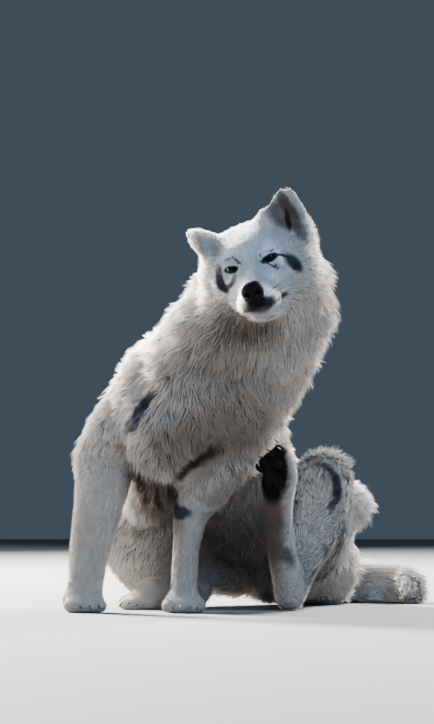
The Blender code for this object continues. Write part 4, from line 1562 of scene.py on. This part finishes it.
@dataclass
class Tufts:
    """The coat: thin closed tufts, rooted all over the skin."""

    seed: int = 11
    piece_triangles: int = 190_000
    patch: float = 0.003
    sway: float = 0.16
    surge: float = 0.12
    curl: float = 0.09
    sag: float = 0.28
    flatness: float = 0.55
    leader_share: float = 0.09
    floor: float = 0.0006
    floor_bend: float = 0.006
    long_from: float = 0.034
    middling_from: float = 0.0165
    eye_gap: float = 0.0009
    sole_gap: float = 0.0022

    # The rings of long, middling and short tufts: how far along, and how wide there as a share of the width.
    LONG = ((0.0, 0.80), (0.46, 1.0))
    MIDDLING = ((0.0, 0.85), (0.55, 0.85))
    SHORT = ((0.0, 1.0),)
    # How tufts differ: the least and the most of their length, lift and width.
    LENGTHS, LIFTS, WIDTHS = (0.72, 1.22), (0.6, 1.55), (0.7, 1.3)
    # Two waves over the body, radians per metre and at its middle: how tufts turn, and how long they are.
    WAVES, PHASES = ((61.0, 23.0), (-17.0, 71.0), (37.0, -41.0)), (0.4, 1.9)

    def roots(self, obj: bpy.types.Object, coat: Coat) -> Roots:
        """Draws the roots over the skin, closer where the hair is shorter.

        Args:
            obj: The skin, unwrapped.
            coat: The coat's numbers.

        Returns:
            The roots.
        """
        rng = np.random.default_rng(self.seed)
        surface = coat.surface
        faces = surface.face_normals()
        area = np.linalg.norm(faces, axis=1) / 2
        spacing = coat.column("spacing")[surface.triangles].mean(axis=1)
        count = rng.poisson(area / spacing**2)
        face_number = np.repeat(np.arange(len(count)), count)
        weight = rng.dirichlet((1, 1, 1), len(face_number))[:, :, None]
        corners = surface.triangles[face_number]
        normals = surface.normals()

        def spread(rows: Rows) -> Rows:
            """Numbers at the skin's points as ones at the roots."""
            return (rows[corners] * weight).sum(axis=1)

        layer = obj.data.uv_layers[BAKE_MAP]
        uv = np.empty(len(layer.uv) * 2, np.float32)
        layer.uv.foreach_get("vector", uv)
        places = (uv.reshape(-1, 3, 2)[face_number] * weight).sum(axis=1)
        heaviest = corners[np.arange(len(corners)), weight[:, :, 0].argmax(axis=1)]
        ways = unit(spread(normals)), unit(spread(coat.lie))
        found = Roots(spread(surface.points), *ways, spread(coat.params), coat.owner[heaviest], places)
        return found.chosen(self.free(found.points))

    def free(self, points: Rows) -> Rows:
        """Whether hair may grow at points: not in an eye, on the nose, on a pad, or under a foot.

        Args:
            points: The points.

        Returns:
            Whether each is free.
        """
        free = (points[:, 2] > self.sole_gap) & Nose.outside(points)
        for side in Side:
            free &= Eye(side).openness(points) > self.eye_gap
        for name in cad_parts:
            if name.startswith("pad_"):
                bm = merged_copy(name)
                tree = BVHTree.FromBMesh(bm)
                bm.free()
                low, high = (np.array(corner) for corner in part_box(name))
                close = ((points > low - 0.006) & (points < high + 0.006)).all(axis=1)
                for k in np.flatnonzero(close):
                    free[k] &= tree.find_nearest(Vector(points[k]))[3] >= self.sole_gap
        return free

    def mesh(self, roots: Roots, rings: Sequence, rng: np.random.Generator) -> tuple[Rows, ...]:
        """The tufts of some roots.

        Args:
            roots: Where they grow.
            rings: How far along each tuft its rings are, and how wide.
            rng: The source of their small differences.

        Returns:
            Their points, how far along its tuft each is, each tuft's tone, the triangles, and the points'
            places on the map.
        """
        n = len(roots.points)
        wave = np.sin(roots.points @ np.array(self.WAVES) + self.PHASES)
        turn = rng.normal(0, 1, n) * roots.column("stray") + self.sway * wave[:, 0]
        side = np.cross(roots.normals, roots.lies)
        lie = roots.lies * np.cos(turn)[:, None] + side * np.sin(turn)[:, None]
        side = np.cross(roots.normals, lie)
        length = roots.column("length") * rng.uniform(*self.LENGTHS, n) * (1 + self.surge * wave[:, 1])
        lift = np.radians(roots.column("lift") * rng.uniform(*self.LIFTS, n))
        width = roots.column("width") * rng.uniform(*self.WIDTHS, n)
        # Hair droops along the skin only, so that it keeps its standing edge.
        down = np.array((0, 0, -1.0)) + roots.normals * roots.normals[:, 2:]
        droop = down * (roots.column("droop") * length)[:, None]
        curl = side * (length * rng.normal(0, self.curl, n))[:, None]

        def spine(q: float) -> Rows:
            """How far from its root each tuft's middle line is, a share q along it.

            Args:
                q: The share.

            Returns:
                One row for each tuft.
            """
            rise = np.sin(lift)[:, None] * (q - self.sag * q**2)
            reach = np.cos(lift)[:, None] * q
            out = length[:, None] * (lie * reach + roots.normals * rise)
            return out + droop * q**2 + curl * q * (1 - q) * 4

        pull, lock = self.clumped(roots.points, roots.points + spine(1.0), rng)
        pull = pull * roots.column("clump")[:, None]
        tone = 0.4 * rng.uniform(size=n) + 0.6 * rng.uniform(size=n)[lock]
        corners = 3 * len(rings) + 1
        points = np.empty((n, corners, 3))
        along = np.empty((n, corners))
        sink = roots.normals * (width * 1.2)[:, None]
        for ring, (q, share) in enumerate(rings):
            at = roots.points + spine(q) + pull * q**2 - sink * (ring == 0)
            for corner in range(3):
                angle = 2 * math.pi * corner / 3 + math.pi / 2
                off = side * (math.cos(angle) * width * share)[:, None]
                off = off + roots.normals * (self.flatness * math.sin(angle) * width * share)[:, None]
                points[:, ring * 3 + corner] = at + off
                along[:, ring * 3 + corner] = q
        points[:, -1] = roots.points + spine(1.0) + pull
        along[:, -1] = 1
        height, bend = points[:, :, 2], self.floor_bend
        laid = self.floor + (bend - self.floor) * np.exp((height - bend) / bend)
        points[:, :, 2] = np.where(height < bend, laid, height)
        return points, along, tone, self.pattern(n, len(rings)), self.map_places(roots.places, along)

    def clumped(self, points: Rows, tips: Rows, rng: np.random.Generator) -> tuple[Rows, Rows]:
        """What moves each tip to the tip of the nearest lock's leader.

        Args:
            points: The roots.
            tips: The tips.
            rng: The source of the choice of leaders.

        Returns:
            The moves, and the number of each tuft's leader.
        """
        leaders = np.flatnonzero(rng.uniform(size=len(points)) < self.leader_share)
        if not len(leaders):
            return np.zeros_like(points), np.arange(len(points))
        tree = KDTree(len(leaders))
        for number, leader in enumerate(leaders):
            tree.insert(points[leader], number)
        tree.balance()
        nearest = leaders[np.array([tree.find(point)[1] for point in points])]
        return tips[nearest] - tips, nearest

    def pattern(self, n: int, rings: int) -> Rows:
        """The triangles of n tufts with some rings each.

        Args:
            n: How many tufts.
            rings: How many rings each has.

        Returns:
            The triangles.
        """
        own = [(2, 1, 0)]
        for ring in range(rings - 1):
            for corner in range(3):
                a, b = ring * 3 + corner, ring * 3 + (corner + 1) % 3
                own += [(a, b, b + 3), (a, b + 3, a + 3)]
        last = (rings - 1) * 3
        own += [(last + corner, last + (corner + 1) % 3, rings * 3) for corner in range(3)]
        start = np.arange(n)[:, None, None] * (3 * rings + 1)
        return (np.array(own)[None] + start).reshape(-1, 3)

    def map_places(self, places: Rows, along: Rows) -> Rows:
        """Each point's place on the bake's map, within the tuft's own small patch.

        Args:
            places: The tufts' places on the map.
            along: How far along its tuft each point is.

        Returns:
            Two numbers for each point.
        """
        corner = (np.arange(along.shape[1]) % 3 - 1) / 2
        u = places[:, :1] + self.patch * 0.5 * np.broadcast_to(corner, along.shape)
        v = places[:, 1:] + self.patch * (along - 0.5)
        return np.stack([u, v], axis=2)

    def build(self, skin: bpy.types.Object, coat: Coat) -> list[bpy.types.Object]:
        """The coat's pieces, each under the limit of triangles.

        Args:
            skin: The skin.
            coat: Its coat's numbers.

        Returns:
            The pieces.
        """
        roots = self.roots(skin, coat)
        LOG.info("%d tufts", len(roots.points))
        rng = np.random.default_rng(self.seed + 1)
        length = roots.column("length")
        kinds = (
            ("long", self.LONG, length >= self.long_from),
            ("middling", self.MIDDLING, (length < self.long_from) & (length >= self.middling_from)),
            ("short", self.SHORT, length < self.middling_from),
        )
        pieces = []
        for section, nodes in SECTIONS.items():
            here = of_nodes(roots.owner, *nodes)
            for kind, rings, of_kind in kinds:
                mine = np.flatnonzero(here & of_kind)
                mine = mine[np.argsort(roots.points[mine, 0] + 0.7 * roots.points[mine, 1])]
                lots = math.ceil(len(mine) * len(self.pattern(1, len(rings))) / self.piece_triangles)
                for number, lot in enumerate(np.array_split(mine, lots) if lots else [], 1):
                    name = f"{section}_{kind}_{number}"
                    pieces.append(self.piece(name, roots.chosen(lot), rings, rng))
        return pieces

    def piece(self, name: str, roots: Roots, rings: Sequence, rng: np.random.Generator) -> bpy.types.Object:
        """One piece of the coat, with its attributes and its map.

        Args:
            name: Its name.
            roots: Where its tufts grow.
            rings: The rings of each.
            rng: The source of their small differences.

        Returns:
            The object.
        """
        points, along, tone, triangles, places = self.mesh(roots, rings, rng)
        obj = mesh_object(name, points.reshape(-1, 3), triangles)
        tone = np.repeat(tone[:, None] ** 2, along.shape[1], axis=1)
        for key, values in (("along", along), ("tone", tone)):
            attribute = obj.data.attributes.new(key, "FLOAT", "POINT")
            attribute.data.foreach_set("value", values.astype(np.float32).ravel())
        layer = obj.data.uv_layers.new(name=BAKE_MAP)
        flat = places.reshape(-1, 2)[triangles.ravel()]
        layer.uv.foreach_set("vector", flat.astype(np.float32).ravel())
        return obj


# --- Nose, pads and claws --------------------------------------------------------------------------


@dataclass
class Nose:
    """The nose pad: a blunt wedge with a groove down its middle and comma-shaped nostrils."""

    AT = (0.0, -0.117, -0.0375)
    SIZE = (0.0218, 0.0165, 0.0205)
    BED_SHARE = 1.02
    SQUARENESS, TAPER = 0.82, 0.10
    GROOVE_DEPTH, GROOVE_WIDTH = 0.0024, 0.0016
    # A nostril's hole and slit: from the middle, height, half width and height, how deep and how steep.
    HOLE = (0.0098, -0.0010, 0.0042, 0.0036, 0.0075, 1.5)
    SLIT = (0.0165, -0.0040, 0.0050, 0.0019, 0.0040, 1.2)
    NOSTRILS = ((0.0098, -0.128, -0.0385), (-0.0098, -0.128, -0.0385))
    DARK, LIGHT = (0.003, 0.003, 0.004), (0.007, 0.007, 0.009)
    FINISH = LeatherFinish("nose_leather", DARK, LIGHT, 1300.0, 0.42, NOSTRILS)

    @classmethod
    def bed(cls) -> Rows:
        """The radii of the skin's bed for the pad."""
        return np.array(cls.SIZE) * cls.BED_SHARE

    @classmethod
    def unit_place(cls, local: Rows) -> Rows:
        """Points of the head's frame as shares of the bed's radii from its middle."""
        return (local - np.array(cls.AT)) / cls.bed()

    @classmethod
    def outside(cls, points: Rows) -> Rows:
        """Whether points lie outside the bed."""
        return np.linalg.norm(cls.unit_place(HEAD.local(points)), axis=1) > 1

    def build(self) -> bpy.types.Object:
        """Builds the pad.

        Returns:
            The mesh's object.
        """
        bm = bmesh.new()
        bmesh.ops.create_uvsphere(bm, u_segments=96, v_segments=64, radius=1)
        for vert in bm.verts:
            vert.co = self.shaped(vert.co)
        bmesh.ops.recalc_face_normals(bm, faces=bm.faces)
        obj = built("nose_pad", bm)
        obj.data.shade_smooth()
        return obj

    def shaped(self, p: Vector) -> Vector:
        """Shapes the pad out of a ball.

        Args:
            p: A point of the unit ball.

        Returns:
            The pad's point in the model's frame.
        """
        squared = [math.copysign(abs(c) ** self.SQUARENESS, c) for c in p]
        taper = 1.0 + self.TAPER * p.z
        x = squared[0] * taper * self.SIZE[0]
        y = squared[1] * self.SIZE[1]
        z = squared[2] * self.SIZE[2]
        if p.y < 0.2:
            front = min((0.2 - p.y) / 0.6, 1)
            groove = self.GROOVE_DEPTH * math.exp(-((x / self.GROOVE_WIDTH) ** 2))
            y += groove * front * (1 - 0.5 * p.z)
            dent = 0.0
            for off, height, wide, tall, deep, steep in (self.HOLE, self.SLIT):
                away = ((abs(x) - off) / wide) ** 2 + ((z - height) / tall) ** 2
                dent += deep * math.exp(-(away**steep))
            y += front * dent
        return HEAD.world((self.AT[0] + x, self.AT[1] + y, self.AT[2] + z))


@dataclass
class Whiskers:
    """The whiskers of both lips and brows: lines on the skin, made tapering rods by Geometry Nodes."""

    seed: int = 5
    thickness: float = 0.00032
    tip_share: float = 0.25
    sides: int = 5
    steps: int = 7
    sag: float = 0.012
    root_depth: float = 0.001
    scatter: float = 0.1
    stand: float = 0.75

    # The way of a whisker in the head's frame, out, back and up, and the range of its length.
    WAY, LENGTHS = (0.55, 0.75, 0.02), (0.75, 1.15)
    # The node group's inputs and their kinds.
    INPUTS = (("Lines", "Geometry"), ("Thickness", "Float"), ("Sides", "Int"), ("Material", "Material"))
    # Rows of whiskers on one side: the first and last root in the head's frame, how many, and how long.
    ROWS = (
        ((0.016, -0.112, -0.054), (0.033, -0.082, -0.050), 5, 0.055),
        ((0.019, -0.110, -0.060), (0.036, -0.078, -0.057), 6, 0.065),
        ((0.021, -0.107, -0.066), (0.036, -0.080, -0.064), 5, 0.050),
        ((0.031, -0.034, 0.019), (0.041, -0.027, 0.019), 3, 0.026),
    )

    def lines(self, skin: BVHTree) -> list[Rows]:
        """Draws each whisker's line, from its root on the skin out, back and down.

        Args:
            skin: The skin.

        Returns:
            One table of points for each whisker.
        """
        rng = np.random.default_rng(self.seed)
        out, back, up = self.WAY
        found = []
        for side in Side:
            for first, last, count, length in self.ROWS:
                for share in np.linspace(0, 1, count):
                    near = Vector(first).lerp(Vector(last), float(share))
                    near.x *= side.value
                    root, normal, _, _ = skin.find_nearest(HEAD.world(near))
                    way = HEAD.turn @ Vector((out * side.value, back, up + self.scatter * rng.normal()))
                    way = (way + normal * self.stand).normalized()
                    reach = length * rng.uniform(*self.LENGTHS)
                    rows = []
                    for q in np.linspace(0, 1, self.steps):
                        drop = Vector((0, 0, self.sag * q * q))
                        rows.append(root - normal * self.root_depth + way * reach * q - drop)
                    found.append(np.array(rows))
        return found

    def tree(self) -> tuple[bpy.types.NodeTree, dict[str, str]]:
        """Builds the node tree that gives lines their thickness.

        Returns:
            The tree, and its inputs' identifiers by name.
        """
        tree = bpy.data.node_groups.new("whisker_rods", "GeometryNodeTree")
        face = tree.interface
        for name, kind in self.INPUTS:
            face.new_socket(name, in_out="INPUT", socket_type=f"NodeSocket{kind}")
        face.new_socket("Rods", in_out="OUTPUT", socket_type="NodeSocketGeometry")

        def add(
            kind: str, output: int | str = 0, **values: bpy.types.NodeSocket | float
        ) -> bpy.types.NodeSocket:
            """Adds a node and sets or links its inputs.

            Args:
                kind: Its type.
                output: The output to give.
                values: Its inputs, with _ for the spaces in their names.

            Returns:
                The output.
            """
            made = tree.nodes.new(kind)
            for key, value in values.items():
                socket = made.inputs[key.replace("_", " ")]
                if isinstance(value, bpy.types.NodeSocket):
                    tree.links.new(value, socket)
                else:
                    socket.default_value = value
            return made.outputs[output]

        given = tree.nodes.new("NodeGroupInput").outputs
        curves = add("GeometryNodeMeshToCurve", Mesh=given["Lines"])
        along = add("GeometryNodeSplineParameter", "Factor")
        share = add("ShaderNodeMapRange", "Result", Value=along, To_Min=1.0, To_Max=self.tip_share)
        radius = tree.nodes.new("ShaderNodeMath")
        radius.operation = "MULTIPLY"
        tree.links.new(share, radius.inputs[0])
        tree.links.new(given["Thickness"], radius.inputs[1])
        ring = add("GeometryNodeCurvePrimitiveCircle", Resolution=given["Sides"], Radius=1.0)
        sizes = {"Scale": radius.outputs[0], "Fill_Caps": True}
        rods = add("GeometryNodeCurveToMesh", Curve=curves, Profile_Curve=ring, **sizes)
        real = add("GeometryNodeRealizeInstances", Geometry=rods)
        dressed = add("GeometryNodeSetMaterial", Geometry=real, Material=given["Material"])
        tree.links.new(dressed, tree.nodes.new("NodeGroupOutput").inputs["Rods"])
        return tree, {item.name: item.identifier for item in face.items_tree}

    def build(self, skin: bpy.types.Object, finish: bpy.types.Material) -> bpy.types.Object:
        """The whiskers' mesh.

        Args:
            skin: The skin that they grow from.
            finish: Their material.

        Returns:
            One object with all of them.
        """
        surface = Surface.of(skin)
        lines = self.lines(BVHTree.FromPolygons(surface.points.tolist(), surface.triangles.tolist()))
        starts = [k * self.steps + i for k in range(len(lines)) for i in range(self.steps - 1)]
        mesh = bpy.data.meshes.new("whiskers")
        mesh.from_pydata(np.concatenate(lines).tolist(), [(start, start + 1) for start in starts], [])
        obj = linked(mesh)
        tree, names = self.tree()
        modifier = obj.modifiers.new("rods", "NODES")
        modifier.node_group = tree
        modifier[names["Thickness"]] = self.thickness
        modifier[names["Sides"]] = self.sides
        modifier[names["Material"]] = finish
        settled(obj)
        obj.data.shade_smooth()
        return obj


@dataclass
class Smoothed:
    """A hard CAD piece rounded off: its facets made one smooth surface of the same size."""

    node: str
    levels: int = 2

    def build(self) -> bpy.types.Object:
        """Builds the smooth copy.

        Returns:
            The mesh's object.
        """
        obj = built(f"{self.node}_smooth", merged_copy(self.node))
        subdivide = obj.modifiers.new("round", "SUBSURF")
        subdivide.levels = self.levels
        subdivide.render_levels = self.levels
        settled(obj)
        obj.data.shade_smooth()
        return obj


# --- The studio ------------------------------------------------------------------------------------


@dataclass(frozen=True)
class Lamp:
    """A square area light: where it is, how high it aims, its side, its watts and its colour."""

    name: str
    at: tuple[float, float, float]
    aim: float
    size: float
    power: float
    colour: Colour

    def build(self) -> None:
        """Adds it to the scene."""
        light = bpy.data.lights.new(self.name, "AREA")
        light.energy = self.power
        light.size = self.size
        light.color = self.colour
        obj = bpy.data.objects.new(self.name, light)
        obj.location = self.at
        obj.rotation_euler = (Vector((0, 0, self.aim)) - obj.location).to_track_quat("-Z", "Y").to_euler()
        bpy.context.scene.collection.objects.link(obj)


@dataclass
class Studio:
    """A pale floor, a cool soft lamp in front, a strong sun and two rim lights behind, and the camera."""

    floor_half: float = 9.0
    eye_height: float = 0.25
    eye_distance: float = 7.0
    look_height: float = 0.4872
    lens: float = 178.5
    sky: Colour = (0.056, 0.079, 0.106)

    LAMPS = (
        Lamp("sun_side", (-2.6, 3.8, 2.4), 0.45, 1.1, 4300, (1.0, 0.96, 0.90)),
        Lamp("side_left", (-4.2, 1.8, 1.5), 0.45, 1.8, 330, (1.0, 0.98, 0.95)),
        Lamp("rim_right", (2.5, 3.5, 2.8), 0.40, 1.2, 1700, (1.0, 0.95, 0.90)),
        Lamp("sky_above", (1.3, -3.3, 3.5), 0.40, 3.5, 200, (0.50, 0.72, 1.0)),
    )

    def build(self) -> None:
        """Makes the floor, the lights, the world and the camera."""
        half = self.floor_half
        corners = np.array([(-half, -half, 0), (half, -half, 0), (half, half, 0), (-half, half, 0)])
        floor = mesh_object("floor", corners, np.array([(0, 1, 2), (0, 2, 3)]), smooth=False)
        floor.data.materials.append(FloorFinish().made())
        for lamp in self.LAMPS:
            lamp.build()
        world = bpy.context.scene.world or bpy.data.worlds.new("studio")
        bpy.context.scene.world = world
        world.use_nodes = True
        background = world.node_tree.nodes["Background"]
        background.inputs["Color"].default_value = (*self.sky, 1)
        background.inputs["Strength"].default_value = 1.0
        self.camera()

    def camera(self) -> None:
        """Adds the camera, low in front of the wolf."""
        camera = bpy.data.cameras.new("camera")
        camera.lens = self.lens
        obj = bpy.data.objects.new("camera", camera)
        x, y, _ = PLAN_SHIFT
        obj.location = (x, y - self.eye_distance, self.eye_height)
        aim = Vector((x, y, self.look_height)) - obj.location
        obj.rotation_euler = aim.to_track_quat("-Z", "Y").to_euler()
        bpy.context.scene.collection.objects.link(obj)
        bpy.context.scene.camera = obj


# --- The wolf --------------------------------------------------------------------------------------


class Wolf:
    """The whole animal, built over the CAD's nodes."""

    PAD_COLOURS = (0.006, 0.0052, 0.005), (0.014, 0.012, 0.011)

    def __init__(self) -> None:
        """Makes the finishes that several pieces share."""
        self.hair = CoatFinish().made()
        self.pad = LeatherFinish("pad_leather", *self.PAD_COLOURS, 900.0, 0.8).made()
        self.horn = HornFinish().made()

    def placed(self, piece: bpy.types.Object, slot: str, finish: bpy.types.Material, *nodes: str) -> None:
        """Dresses a piece and puts it in place of its CAD nodes, on the CAD's one body.

        Args:
            piece: The piece.
            slot: Not used.
            finish: Its material.
            nodes: The names of the nodes that it stands for.
        """
        piece.data.materials.clear()
        piece.data.materials.append(finish)
        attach(piece, BODY)
        if nodes:
            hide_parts(*nodes)
        LOG.info("%s: %d faces", piece.name, len(piece.data.polygons))

    def unwrap(self, obj: bpy.types.Object) -> None:
        """Unwraps the skin by its own shape, for the bake and the tufts' places.

        Args:
            obj: The skin.
        """
        bpy.ops.object.select_all(action="DESELECT")
        bpy.context.view_layer.objects.active = obj
        obj.select_set(True)
        obj.data.uv_layers.new(name=BAKE_MAP)
        bpy.ops.object.mode_set(mode="EDIT")
        bpy.ops.mesh.select_all(action="SELECT")
        bpy.ops.uv.smart_project(angle_limit=1.15, island_margin=0.002, scale_to_bounds=True)
        bpy.ops.object.mode_set(mode="OBJECT")

    def skin(self) -> tuple[bpy.types.Object, Coat]:
        """Builds the skin, in place of all the flesh nodes.

        Returns:
            The skin and its coat's numbers.
        """
        obj, coat = Skin().build()
        self.unwrap(obj)
        self.placed(obj, "white_coat", SkinFinish().made(), *FLESH)
        return obj, coat

    def eyes_and_nose(self) -> None:
        """Both eyeballs and the nose pad."""
        for side in Side:
            self.placed(Eye(side).build(), "eye", EyeFinish(side).made(), f"eye_{side.word}")
        self.placed(Nose().build(), "nose_leather", Nose.FINISH.made(), "nose")

    def feet(self) -> None:
        """The pads and claws, smoothed."""
        for node in sorted(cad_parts):
            if node.startswith("claw_"):
                self.placed(Smoothed(node).build(), "claw_horn", self.horn, node)
            elif node.startswith("pad_"):
                self.placed(Smoothed(node).build(), "pad_leather", self.pad, node)

    def build(self) -> None:
        """Builds all of it, with the whiskers and the coat, which stand for no node of the CAD."""
        skin, coat = self.skin()
        for piece in Tufts().build(skin, coat):
            self.placed(piece, "white_coat", self.hair)
        self.eyes_and_nose()
        self.placed(Whiskers().build(skin, self.horn), "claw_horn", self.horn)
        self.feet()


def main() -> None:
    """Builds the wolf and the studio."""
    logging.basicConfig(level=logging.INFO, format="%(message)s")
    Wolf().build()
    Studio().build()


if __name__ == "__main__":
    main()
